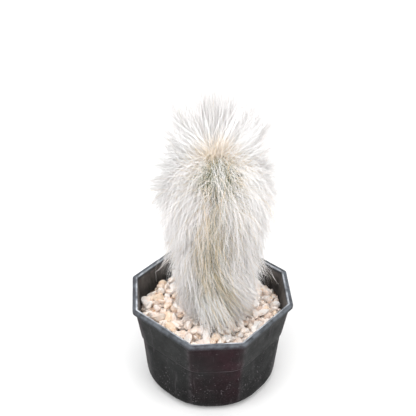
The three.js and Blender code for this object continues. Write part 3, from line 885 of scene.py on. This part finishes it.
def outwards(angle, radius, sideways, height):
    """The same as arrows: outwards, sideways and up at an angle round the stem."""
    x = radius * np.cos(angle) - sideways * np.sin(angle)
    y = radius * np.sin(angle) + sideways * np.cos(angle)
    return np.stack([x, y, height + 0 * x], -1)


def draws(random, count):
    """A function that draws one number for each lock from a bell curve of the width it is given."""
    return lambda width: random.normal(size=count) * width


def angle_of(points):
    """The angle of points round the stem."""
    return np.arctan2(points[:, 1], points[:, 0] - STEM_X)


def backness(angle):
    """0 at the front of the plant and 1 round its back."""
    return smooth(np.sin(angle), -1, 0.8)


def off_front(angle):
    """The angle from the front, from minus half a turn to half a turn."""
    return (angle - FRONT + math.pi) % (2 * math.pi) - math.pi


def in_front(angle):
    """1 at the front of the plant, falling off as a bell towards its sides."""
    return bell(off_front(angle), 0.55)


def coat_radius(angle, height, radius):
    """The coat narrows towards the stones, less in front, where it spreads."""
    foot = COAT_FOOT_RADIUS + COAT_FRONT_SPREAD * (1 - backness(angle)) ** 2
    return blend(foot, radius, smooth(height, COAT_BOTTOM - 2 * MM, COAT_FULL_HEIGHT))


def flow(angle, height):
    """How far hair drifts sideways for each length that it falls. Under the crown it fans out from
    the front; lower down, the front sweeps across to the right."""
    off = off_front(angle)
    fan = 0.42 * np.tanh(off / 0.5) * bell(off, 1.3) * smooth(height, 118 * MM, 160 * MM)
    sweep = 0.95 * bell(off - 0.1, 0.6) * smooth(height, 120 * MM, 90 * MM)
    return fan + sweep + 0.12 * bell(off - 1.1, 0.5) * smooth(height, 150 * MM, 120 * MM)


class Locks(NamedTuple):
    """Locks of hair before they are split into hairs: four control points, a hook that bends the
    tip, a slow swing, the hairs in each, how far hairs lie from the lock at its root and its tip,
    and the shortest hair's share of it. Every array has one row for each lock."""

    control: tuple
    hook: np.ndarray
    swing: np.ndarray
    per: np.ndarray
    spread: tuple
    shortest: float
    frizz: float = 1.0

    def lines(self, random, segments):
        """The hairs' centre lines, by hair, station and coordinate, and each hair's lock.

        A lock runs along the cubic (1-t)^3 a + 3t(1-t)^2 b + 3t^2(1-t) c + t^3 d, plus hook t^3,
        plus a sine wave across it that grows as t^1.5. A hair follows it to its own share of t.
        It starts and ends a little beside the lock, and has a small wave of its own.
        """
        lock = np.repeat(np.arange(len(self.hook)), self.per)
        count = len(lock)
        share = self.shortest + (1 - self.shortest) * random.uniform(0, 1, count) ** 0.8
        s = (np.linspace(0, 1, segments + 1)[None, :] * share[:, None])[..., None]
        a, b, c, d = (point[lock][:, None] for point in self.control)
        line = a * (1 - s) ** 3 + 3 * b * s * (1 - s) ** 2 + 3 * c * s**2 * (1 - s) + d * s**3
        line = line + self.hook[lock][:, None] * s**3
        along = self.control[3] - self.control[0]
        line += waves(random, along, self.swing, 0.4, 1.1, s, lock)
        start, end = (random.normal(size=(count, 3)) * reach[lock][:, None] for reach in self.spread)
        line += start[:, None] * (1 - s) + end[:, None] * s
        frizz = self.frizz * (0.5 + 2.6 * random.uniform(0, 1, count) ** 1.6) * MM
        line += waves(random, along[lock], frizz, 0.7, 2.0, s, slice(None))
        return line, lock


def waves(random, along, reach, fewest, most, t, lock):
    """A sine wave across each line: reach t^1.5 (sin(2 pi k t + p) - sin p), for two directions."""
    total = 0
    forward = unit(along)
    count = len(along)
    for share in (1, 0.6):
        axis = random.normal(size=(count, 3))
        axis = unit(axis - (axis * forward).sum(1, keepdims=True) * forward)
        phase = random.uniform(0, 2 * np.pi, count)[:, None, None]
        turns = random.uniform(fewest, most, count)[:, None, None]
        size = share * reach[:, None, None]
        axis, phase, turns, size = axis[:, None][lock], phase[lock], turns[lock], size[lock]
        total = total + axis * size * t**1.5 * (np.sin(2 * np.pi * turns * t + phase) - np.sin(phase))
    return total


def tubes(line, radius):
    """Three-sided tubes round lines, which taper as r (1 - 0.6 t) and close to a point. Each has
    its rings from root to tip, then its tip."""
    count, stations = line.shape[:2]
    along = unit(np.gradient(line, axis=1))
    # A ring lies across its line, turned from upwards, or from +X where the line itself runs up.
    across = np.where(np.abs(along[:, :1, 2:]) < 0.8, [[[0, 0, 1.0]]], [[[1.0, 0, 0]]])
    side = unit(np.cross(along, across))
    other = np.cross(along, side)
    thick = radius[:, None, None] * (1 - 0.6 * np.linspace(0, 1, stations)[None, :, None])
    turns = np.arange(3) * 2 * np.pi / 3
    rings = [line + thick * (math.cos(turn) * side + math.sin(turn) * other) for turn in turns]
    rings = np.stack(rings, 2)[:, :-1]
    return np.concatenate([rings.reshape(count, -1, 3), line[:, -1:]], 1)


def strand_faces(count, segments):
    """Faces for that many hairs: quads between their rings, a lid and a pointed end."""
    per = 3 * segments + 1
    quads = grid_faces(segments, 3)
    last = 3 * (segments - 1)
    triangles = [[0, 2, 1], *([last + i, last + (i + 1) % 3, per - 1] for i in range(3))]
    shift = (np.arange(count) * per)[:, None, None]
    return (quads[None] + shift).reshape(-1, 4), (np.array(triangles)[None] + shift).reshape(-1, 3)


def strand_map(tone, segments):
    """The palette map of each face corner: u is the hair's tone, a little either side of it on the
    tube's three corners, and v is how far along the hair the corner lies."""
    quads, triangles = strand_faces(1, segments)
    v = np.concatenate([np.repeat(np.arange(segments) / segments, 3), [1.0]])
    u = np.append(np.tile([-0.0015, 0, 0.0015], segments), 0)
    corners = np.concatenate([quads.ravel(), triangles.ravel()])
    u = tone[:, None] + u[corners][None]
    both = np.stack([u, np.broadcast_to(v[corners], u.shape)], -1)
    return np.concatenate([part.reshape(-1, 2) for part in np.split(both, [quads.size], 1)])


def hair_piece(name, line, radius, tone, material):
    """One mesh of hairs from their centre lines."""
    segments = line.shape[1] - 1
    points = tubes(line, radius).reshape(-1, 3)
    uv = strand_map(np.clip(tone, 0.002, 0.998), segments)
    piece = mesh_piece(name, points, *strand_faces(len(line), segments), material, uv=uv)
    place(piece, "old_man_cactus")


def above_stones(points):
    """Hair that would sink into the stones lies out over them: its height keeps above the coat's
    lowest, and it gains a part of what it loses in height outwards."""
    height = soft_limit(points[..., 2], COAT_BOTTOM, 1.6 * MM)
    lost = np.maximum(height - points[..., 2], 0)
    flat = points[..., :2]
    moved = flat + unit(flat - [STEM_X, 0]) * 0.3 * lost[..., None]
    return np.concatenate([moved, height[..., None]], -1)


def below_top(points):
    """Hair keeps under the highest point and in front of the rearmost."""
    return soft_limit(points, np.array([np.inf, HAIR_BACK, HAIR_TOP]), -2 * MM)


def off_skin(line):
    """Hair that a wave would carry into the stem is pushed out to its skin."""
    flat = line[..., :2] - [STEM_X, 0]
    skin = stem_radius(line[..., 2]) + 0.3 * MM
    skin[:, 0] = 0
    lift = np.maximum(skin / (np.linalg.norm(flat, axis=-1) + 1e-9), 1)
    lift = np.where((line[..., 2] < STEM_APEX) & (skin > 2 * MM), lift, 1)
    return np.concatenate([flat * lift[..., None] + [STEM_X, 0], line[..., 2:]], -1)


def streaks(points):
    """How strongly each point lies in a tan streak, by its angle and height: a bell across the
    streak, whose ends fade out."""
    angle = np.degrees(off_front(angle_of(points)) + FRONT)
    height = points[:, 2] / MM
    total = np.zeros(len(points))
    for heights, angles, width, strength in STREAKS:
        across = bell(angle - np.interp(height, heights, angles), width)
        first, last = heights[0], heights[-1]
        inside = smooth(height, first - 4, first + 4) * smooth(height, last + 6, last - 6)
        total = np.maximum(total, strength * inside * across)
    return total


def pick_tones(random, line, under):
    """Where each hair lies in the palette. In the streaks, and in the undercoat in front, more of
    them are tan, olive and grey, which in the undercoat is partly darker hair and partly painted
    shade; elsewhere they are white, with some cream and grey."""
    middle = line[:, line.shape[1] // 2]
    streak = streaks(middle)
    front = in_front(angle_of(middle))
    # The undercoat is darker in front: partly darker hair, partly painted shade.
    dark_and_shade = under * (0.1 + 0.9 * front)
    chance = random.uniform(0, 1, len(line))
    weights = np.stack(
        [
            blend(0.02 + 0.06 * front + 0.42 * streak, 0.30, dark_and_shade),
            blend(0.01 + 0.06 * front + 0.26 * streak, 0.50, dark_and_shade),
            blend(0.05 + 0.22 * front, 0.10, dark_and_shade),
            0.26 * (1 - dark_and_shade) * (1 - 0.6 * streak),
        ]
    )
    weights *= 1 - 0.75 * smooth(middle[:, 2], STEM_APEX - 6 * MM, STEM_APEX + 14 * MM)
    part = (chance[None] > np.cumsum(weights, axis=0)).sum(axis=0)
    low, high = np.array([TAN, OLIVE_AND_SHADE, GREY, CREAM, WHITE])[part].T
    return blend(low, high, random.uniform(0.03, 0.97, len(line)))


def hair_material():
    """White hair, by its palette map: a colour at the root and one at the tip for each part of the
    palette, with every hair a little lighter or darker than the next."""
    n = Nodes("white_hair")
    u, v = n.strand()
    starts, tips, roots = zip(*PALETTE, strict=True)
    tip = n.ramp(u, *zip(starts, tips, strict=True), hold=True)
    root = n.ramp(u, *zip(starts, roots, strict=True), hold=True)
    colour = n.mix(n.ramp(v, (0.05, 0), (0.36, 1)), root, tip)
    step = n.math("ROUND", n.times(u, 300))
    each = n.add("ShaderNodeTexWhiteNoise", "Value", {"noise_dimensions": "1D"}, W=step)
    colour = n.shaded(colour, n.ramp(each, (0, 0.84), (1, 1.04)))
    return n.finish(Base_Color=colour, Roughness=0.65, Specular_IOR_Level=0.25, Sheen_Weight=0.5)


def spine_material():
    """Straw-yellow spines, darker and browner at the point."""
    n = Nodes("straw_spines")
    u, v = n.strand()
    colour = n.ramp(v, (0, (0.62, 0.46, 0.24)), (0.5, (0.88, 0.76, 0.54)), (1, (0.62, 0.47, 0.30)))
    return n.finish(Base_Color=n.shaded(colour, n.ramp(u, (0, 0.6), (1, 1.1))), Roughness=0.4)


def areoles(times):
    """Angles and heights of the hair cushions, so many times each: on each rib, staggered from rib
    to rib."""
    pitch = (STEM_SHOULDER - FIRST_AREOLE) / (COAT_ROWS - 0.5)
    row, rib = np.mgrid[0:COAT_ROWS, 0:RIB_COUNT]
    angle = rib * 2 * np.pi / RIB_COUNT
    height = FIRST_AREOLE + pitch * (row + (rib % 2) / 2)
    return np.repeat(angle, times), np.repeat(height, times)


def even_locks(control, hook, swing, per, spread, shortest, frizz=1.0):
    """Locks that all have the same swing and spread, in millimetres."""
    each = np.ones(len(hook))
    spread = [each * reach * MM for reach in spread]
    return Locks(control, hook, each * swing * MM, each.astype(int) * per, spread, shortest, frizz)


def coat_locks(random, outer, per):
    """The coat: from each cushion a few locks lean out of the skin, bend over and hang down. A
    standing lock keeps out from the coat."""
    angle, height = areoles(LOCKS_PER_AREOLE)
    count = len(angle)
    normal = draws(random, count)
    angle = angle + normal(0.06)
    height = height + normal(1.3 * MM)
    lift = backness(angle) * smooth(height, 120 * MM, STEM_SHOULDER)
    stands = random.uniform(0, 1, count) < 0.06 + 0.1 * np.cos(angle) ** 2
    standing = np.where(stands, random.uniform(0.2, 1, count), 0)
    standing *= smooth(height, 84 * MM, 112 * MM)
    full = blend(16 * MM, 30 * MM, smooth(height, 66 * MM, 116 * MM))
    length = full * random.uniform(0.7, 1.15, count) * (1 - 0.2 * lift - 0.4 * standing)
    fall = np.minimum(length, height - COAT_BOTTOM + 4 * MM)
    skin = stem_radius(height)
    depth = random.uniform(0.15, 1, count) ** 0.55
    rim = coat_radius(angle, height - fall, outer) + 4 * MM * lift
    out = np.maximum((rim - skin) * depth + normal(0.9 * MM), 2 * MM) + 10 * MM * standing
    drift = flow(angle, height - 0.4 * fall) * fall + normal(0.25) * fall
    beside, above = 0.05 * drift + normal(0.8 * MM), height + 2 * MM + normal(1.4 * MM)
    control = (
        around(angle, skin - 1 * MM, 0, height),
        around(angle, skin + 0.45 * out, beside, above),
        around(angle, skin + 0.85 * out, 0.42 * drift + normal(1.2 * MM), height - 0.45 * fall),
        around(angle, skin + out, drift, height - fall),
    )
    curl = outwards(angle, normal(1.2 * MM), normal(3 * MM), normal(1 * MM))
    swing = random.uniform(0.3, 1.6, count) * MM
    loose = np.where(random.uniform(0, 1, count) < 0.3, 1.1, random.uniform(2.2, 4.2, count)) * MM
    # Locks are thinner in front and in the streaks, where the skin shows darker through them.
    thin = 0.55 * in_front(angle) * (random.uniform(0, 1, count) < 0.85) + 0.4 * streaks(control[2])
    many = np.round(per * (1 - np.minimum(thin, 0.85)) + random.uniform(-0.4, 0.4, count)).astype(int)
    return Locks(control, curl, swing, many, (np.full(count, 1.7 * MM), loose), 0.6)


def undercoat_locks(random, outer, per):
    """Short crinkled hair close to the skin, which leans every way but mostly down."""
    angle, height = areoles(UNDERCOAT_PER_AREOLE)
    count = len(angle)
    normal = draws(random, count)
    angle = angle + normal(0.09)
    height = height + normal(1.8 * MM)
    fall = np.minimum(random.uniform(5, 17, count) * MM, height - COAT_BOTTOM + 2 * MM)
    skin = stem_radius(height)
    out = random.uniform(0.2, 0.75, count) * (coat_radius(angle, height - fall, outer) - skin)
    drift = (flow(angle, height) + normal(0.3)) * fall
    control = (
        around(angle, skin - 1 * MM, 0, height),
        around(angle, skin + 0.5 * out, 0.1 * drift, height + 1.5 * MM),
        around(angle, skin + 0.9 * out, 0.5 * drift, height - 0.5 * fall),
        around(angle, skin + out, drift, height - fall),
    )
    return even_locks(control, np.zeros((count, 3)), 0.5, per, (1.6, 3.0), 0.6)


def dome_place(count, widest):
    """Angles round and down from the apex, spread evenly over the dome by the golden angle."""
    golden = math.pi * (3 - math.sqrt(5))
    index = np.arange(count)
    return index * golden, math.radians(widest) * np.sqrt((index + 0.5) / count)


def dome_point(angle, polar):
    """A point of the stem's dome, by its angle round the axis and its angle down from the apex."""
    height = STEM_SHOULDER - 1 * MM + (STEM_APEX - STEM_SHOULDER) * np.cos(polar)
    return around(angle, (STEM_RADIUS - 1 * MM) * np.sin(polar), 0, height)


def dome_normal(angle, polar):
    """The direction straight out of a unit ball at those angles."""
    return outwards(angle, np.sin(polar), 0, np.cos(polar))


def crown_locks(random, tufts, per):
    """The crown: round the back the locks stand up and fan out, at the sides they arch over, and
    in front they fall down the stem."""
    angle, polar = dome_place(tufts, 88)
    normal = draws(random, tufts)
    angle = angle + normal(0.16)
    polar = np.clip(polar + normal(0.05), 0.02, 1.6)
    back = backness(angle)
    inner = np.cos(np.minimum(polar, math.pi / 2))
    left = np.maximum(-np.cos(angle), 0)
    behind = np.maximum(np.sin(angle), 0)
    radii = (blend(*tips, behind) for tips in CROWN_TIP_RADII)
    tip_radius = blend(*radii, inner) * MM + normal(3 * MM)
    upright = blend(inner, inner**0.45, back)
    hanging = random.uniform(0, 1, tufts) < 0.45 * smooth(polar, 0.5, 1.1) * behind**2
    upright = np.where(hanging, upright * random.uniform(0, 0.75, tufts), upright)
    heights = (blend(*tips, back) for tips in CROWN_TIP_HEIGHTS)
    tip_height = blend(*heights, upright) * MM + normal(5 * MM)
    tip_height += (normal(14 * MM) * (1 - inner) - 12 * MM * left) * back
    fan = 5 * MM * np.tanh(off_front(angle) / 0.5) * (1 - back)
    root = dome_point(angle, polar)
    tip = around(angle, tip_radius, fan + normal(4 * MM) * (1 + 1.4 * back), tip_height)
    tip = root + (tip - root) * (random.uniform(0.72, 1.08, tufts) + 0.1 * back)[:, None]
    reach = np.linalg.norm(tip - root, axis=1)[:, None]
    start = root + dome_normal(angle, polar) * 0.3 * reach
    rise = blend(13, blend(10, 0, inner), back) * MM
    bend = root + (tip - root) * 0.62 + outwards(angle, 3 * MM, 0.4 * fan, rise)
    apart = np.cos(angle) * back * inner
    bend[:, 0] += 7 * MM * apart
    tip[:, 0] -= 3 * MM * apart
    hook = outwards(angle, normal(4 * MM), normal(8 * MM), normal(4 * MM) + 2 * MM * back)
    swing = random.uniform(0.6, 3.0, tufts) * MM
    spread = (np.full(tufts, 2.8 * MM), random.uniform(2, 6, tufts) * MM)
    bare = bell(off_front(angle), 0.8) * smooth(polar, 0, 0.1) * smooth(polar, 1.3, 0.8)
    many = np.round(per * (1 - 0.85 * bare)).astype(int)
    return Locks((root, start, bend, tip), hook, swing, many, spread, 0.72, 1.4)


def cap_locks(random, tufts, per):
    """Short dense wool over the growing point and behind it."""
    angle, polar = dome_place(tufts, 64)
    keep = (backness(angle) > 0.3) | (polar < 0.12)
    angle, polar = angle[keep], polar[keep]
    normal = draws(random, len(angle))
    back = backness(angle)
    root = dome_point(angle, polar)
    away = dome_normal(angle + normal(0.3), polar + 0.2 + normal(0.2))
    reach = (random.uniform(5, 11, len(angle)) + 6 * smooth(back, 0.5, 1))[:, None] * MM
    tip = root + away * reach + np.column_stack([normal(1.5 * MM), 3 * MM * back, normal(1.5 * MM)])
    control = (root, root + away * 0.35 * reach, root + (tip - root) * 0.7, tip)
    hook = random.normal(size=root.shape) * 2 * MM
    return even_locks(control, hook, 0.6, per, (1.4, 2.6), 0.5)


def wisp_locks(random, scale):
    """The loose wisps of the table, each drawn together towards its tip."""
    table = np.array(WISPS, float)
    angle, height = np.radians(table[:, 0]), table[:, 1] * MM
    skin = stem_radius(np.minimum(height, STEM_APEX - 1 * MM)) - 1 * MM
    root = around(angle, skin, 0, height)
    tip = blend(root, table[:, 2:5] * MM, WISP_REACH)
    reach = np.linalg.norm(tip - root, axis=1)[:, None]
    start = root + outwards(angle, 1, 0, 0.35) * 0.3 * reach
    rise = np.where(tip[:, 2] > root[:, 2], -1.5 * MM, 4 * MM)[:, None] * [0, 0, 1]
    bend = root + (tip - root) * 0.66 + rise
    hook = random.normal(size=root.shape) * 5 * MM
    per = np.maximum((table[:, 5] * scale).astype(int), 8)
    return even_locks((root, start, bend, tip - hook), hook, 2.6, per, (3.4, 3.6), 0.5, 1.8)


class CACTUS_OT_make_hair(bpy.types.Operator):
    """Grows the coat of hair on the ribs, the mop on the crown and the loose wisps"""

    bl_idname = "cactus.make_hair"
    bl_label = "Make Hair"

    def execute(self, context):
        settings = context.scene.cactus_hair
        random = np.random.default_rng(settings.seed)
        material = hair_material()
        per = settings.hairs_per_lock

        def grow(name, locks, segments, parts=1, others=(), thickness=1.0, under=0.0):
            """Makes one piece, or several alike. Each of the others is a part of the palette that
            a share of each lock's hairs takes instead."""
            line, lock = locks.lines(random, segments)
            line = below_top(above_stones(off_skin(line)))
            tone = pick_tones(random, line, under)
            for share, (low, high) in others:
                inside = blend(low, high, random.uniform(0.05, 0.95, len(line)))
                tone = np.where(random.uniform(0, 1, len(line)) < share[lock], inside, tone)
            radius = settings.hair_radius * random.uniform(0.65, 1.25, len(line)) * thickness
            for part in range(parts):
                mine = slice(part * len(line) // parts, (part + 1) * len(line) // parts)
                label = f"{name}_{part + 1}" if parts > 1 else name
                hair_piece(label, line[mine], radius[mine], tone[mine], material)

        under = undercoat_locks(random, settings.coat_radius, int(1.75 * per))
        grow("undercoat", under, UNDERCOAT_SEGMENTS, 2, under=1.0)
        grow("coat_hair", coat_locks(random, settings.coat_radius, per), COAT_SEGMENTS, 2)
        crown = crown_locks(random, CROWN_TUFTS, 2 * per)
        root, tip = crown.control[0], crown.control[3]
        pale = 0.85 * smooth(root[:, 2], STEM_SHOULDER, STEM_APEX - 4 * MM)
        pale *= 1 - 0.8 * in_front(angle_of(tip))
        off = np.hypot(root[:, 0] - STEM_X, root[:, 1])
        # Round the growing point in front, a share of the crown's hairs are dark olive: painted shade for
        # the skin between the locks.
        dark_and_shade = 0.6 * in_front(angle_of(root))
        dark_and_shade *= smooth(off, 2 * MM, 4 * MM) * smooth(off, 15 * MM, 10 * MM)
        grow("crown_hair", crown, CROWN_SEGMENTS, 2, ((pale, CROWN), (dark_and_shade, OLIVE_AND_SHADE)), 0.85)
        cap = cap_locks(random, WOOL_TUFTS, int(2.3 * per))
        grow("crown_wool", cap, WOOL_SEGMENTS, 1, ((np.full(len(cap.hook), 0.95), WOOL),), 0.85)
        wisps = wisp_locks(random, per / 4.5)
        grey = blend(0.55, 0.1, smooth(wisps.control[3][:, 2], 185 * MM, 200 * MM))
        grow("loose_wisps", wisps, CROWN_SEGMENTS, 1, ((grey, GREY),))
        return {"FINISHED"}


class CACTUS_OT_make_spines(bpy.types.Operator):
    """Sets the thin straight spines in the hair cushions, thickest round the growing point"""

    bl_idname = "cactus.make_spines"
    bl_label = "Make Spines"

    def execute(self, context):
        random = np.random.default_rng(context.scene.cactus_hair.seed + 1)
        angle, height = areoles(SPINES_PER_AREOLE)
        count = len(angle)
        angle = angle + random.normal(size=count) * 0.04
        skin = stem_radius(height)
        length = random.uniform(5, 10, count) * MM
        slope = random.uniform(-0.9, 0.15, count)
        across = random.normal(size=count) * 0.35 * length
        root = around(angle, skin - 1 * MM, 0, height)
        tip = around(angle, skin + length * np.cos(slope), across, height + length * np.sin(slope))
        angle, polar = dome_place(CROWN_SPINES, 80)
        angle = angle + random.normal(size=CROWN_SPINES) * 0.1
        lean = np.clip(polar + random.uniform(-0.2, 0.8, CROWN_SPINES), 0.05, 1.9)
        crown = dome_point(angle, polar)
        length = random.uniform(7, 15, CROWN_SPINES)[:, None] * MM
        tip = np.concatenate([tip, crown + dome_normal(angle, lean) * length])
        root = np.concatenate([root, crown])
        # A spine runs straight from root to tip, bowed sideways by b 4t (1-t).
        t = np.linspace(0, 1, 4)[None, :, None]
        bow = random.normal(size=(len(root), 1, 3)) * 0.35 * MM
        line = above_stones(blend(root[:, None], tip[:, None], t) + bow * 4 * t * (1 - t))
        radius = random.uniform(0.12, 0.2, len(root)) * MM
        tone = random.uniform(0.01, 0.99, len(root))
        hair_piece("spines", line, radius, tone, spine_material())
        return {"FINISHED"}


# ---- Stage ----

CAMERA_AZIMUTH = math.radians(-4.12)
CAMERA_ELEVATION = math.radians(36.32)
CAMERA_DISTANCE = 556.4 * MM
CAMERA_ROLL = math.radians(0.56)
CAMERA_TARGET = Vector((-2.8 * MM, 1.5 * MM, 137.8 * MM))
CAMERA_LENS = 76.52
SENSOR = 36.0
FLOOR_REACH = 12.0
SKY_STRENGTH = 0.74

# Soft boxes: name, azimuth, elevation, distance, size, power and colour, in degrees and metres.
LIGHTS = (
    ("key_light", -35, 48, 1.3, 0.8, 4, (1.0, 0.99, 0.98)),
    ("top_light", 10, 84, 1.5, 1.4, 16.5, (1.0, 1.0, 1.0)),
    ("left_light", -68, 26, 1.3, 0.8, 8, (0.98, 0.99, 1.0)),
    ("right_light", 55, 30, 1.3, 0.8, 9, (1.0, 0.99, 0.98)),
    ("back_light", 170, 50, 1.4, 0.9, 4, (1.0, 1.0, 1.0)),
)


def floor_material():
    """Pale, with a glow further off, where the lamps don't reach, so that it is white all round."""
    n = Nodes("pale_floor")
    away = n.add("ShaderNodeVectorMath", "Value", {"operation": "LENGTH"}, Vector=n.where())
    glow = n.add("ShaderNodeMapRange", Value=away, From_Min=0.8, From_Max=1.5, To_Max=0.5)
    n.finish(Emission_Color=(1.0, 1.0, 1.0), Emission_Strength=glow)
    return n.finish(Base_Color=(0.72, 0.72, 0.72), Roughness=0.9, Specular_IOR_Level=0.1)


def aim(item, azimuth, elevation, distance, target):
    """Links a lamp or a camera at a distance from a point, which it looks at: from the front,
    turned towards +X by the azimuth and up by the elevation."""
    across = math.cos(elevation)
    back = Vector((math.sin(azimuth) * across, -math.cos(azimuth) * across, math.sin(elevation)))
    item.location = target + back * distance
    item.rotation_mode = "QUATERNION"
    item.rotation_quaternion = (-back).to_track_quat("-Z", "Y")
    bpy.context.scene.collection.objects.link(item)


def area_light(name, azimuth, elevation, distance, size, power, colour):
    """A square soft box at an angle round the plant, aimed at its middle."""
    data = bpy.data.lights.new(name, "AREA")
    data.shape = "SQUARE"
    data.size = size
    data.energy = power
    data.color = colour
    lamp = bpy.data.objects.new(name, data)
    aim(lamp, math.radians(azimuth), math.radians(elevation), distance, Vector((0, 0, 100 * MM)))


class CACTUS_OT_make_stage(bpy.types.Operator):
    """Makes the pale floor, the soft studio light and the camera"""

    bl_idname = "cactus.make_stage"
    bl_label = "Make Stage"

    def execute(self, context):
        scene = context.scene
        corners = [(x * FLOOR_REACH, y * FLOOR_REACH, 0) for x, y in ((-1, -1), (1, -1), (1, 1), (-1, 1))]
        none = np.zeros((0, 3), int)
        mesh_piece("floor", corners, np.array([[0, 1, 2, 3]]), none, floor_material())
        world = bpy.data.worlds.new("studio")
        world.use_nodes = True
        sky = world.node_tree.nodes["Background"]
        sky.inputs["Color"].default_value = (1.0, 1.0, 1.0, 1)
        sky.inputs["Strength"].default_value = SKY_STRENGTH
        scene.world = world
        for lamp in LIGHTS:
            area_light(*lamp)
        scene.view_settings.view_transform = "Standard"
        data = bpy.data.cameras.new("camera")
        data.sensor_width = SENSOR
        data.lens = CAMERA_LENS
        data.clip_start, data.clip_end = 0.01, 50
        camera = bpy.data.objects.new("camera", data)
        aim(camera, CAMERA_AZIMUTH, CAMERA_ELEVATION, CAMERA_DISTANCE, CAMERA_TARGET)
        roll = Quaternion((0, 0, 1), CAMERA_ROLL)
        camera.rotation_quaternion = camera.rotation_quaternion @ roll
        scene.camera = camera
        return {"FINISHED"}


# ---- Panel and registration ----


class CACTUS_PT_panel(bpy.types.Panel):
    """Lists the operators and the settings"""

    bl_idname = "CACTUS_PT_panel"
    bl_label = "Potted Cactus"
    bl_space_type = "VIEW_3D"
    bl_region_type = "UI"
    bl_category = "Cactus"

    def draw(self, context):
        for operator in OPERATORS:
            self.layout.operator(operator.bl_idname)
        for name, group in SETTINGS.items():
            for value in group.__annotations__:
                self.layout.prop(getattr(context.scene, name), value)


OPERATORS = (
    CACTUS_OT_make_stage,
    CACTUS_OT_make_pot,
    CACTUS_OT_make_soil,
    CACTUS_OT_make_stones,
    CACTUS_OT_make_stem,
    CACTUS_OT_make_spines,
    CACTUS_OT_make_hair,
)
SETTINGS = {"cactus_pot": PotSettings, "cactus_gravel": GravelSettings, "cactus_hair": HairSettings}
CLASSES = (*SETTINGS.values(), *OPERATORS, CACTUS_PT_panel)


def register():
    for made in CLASSES:
        bpy.utils.register_class(made)
    for name, group in SETTINGS.items():
        setattr(bpy.types.Scene, name, PointerProperty(type=group))


def unregister():
    for name in SETTINGS:
        delattr(bpy.types.Scene, name)
    for made in reversed(CLASSES):
        bpy.utils.unregister_class(made)


def main():
    register()
    for operator in OPERATORS:
        group, name = operator.bl_idname.split(".")
        getattr(getattr(bpy.ops, group), name)()


if __name__ == "__main__":
    main()
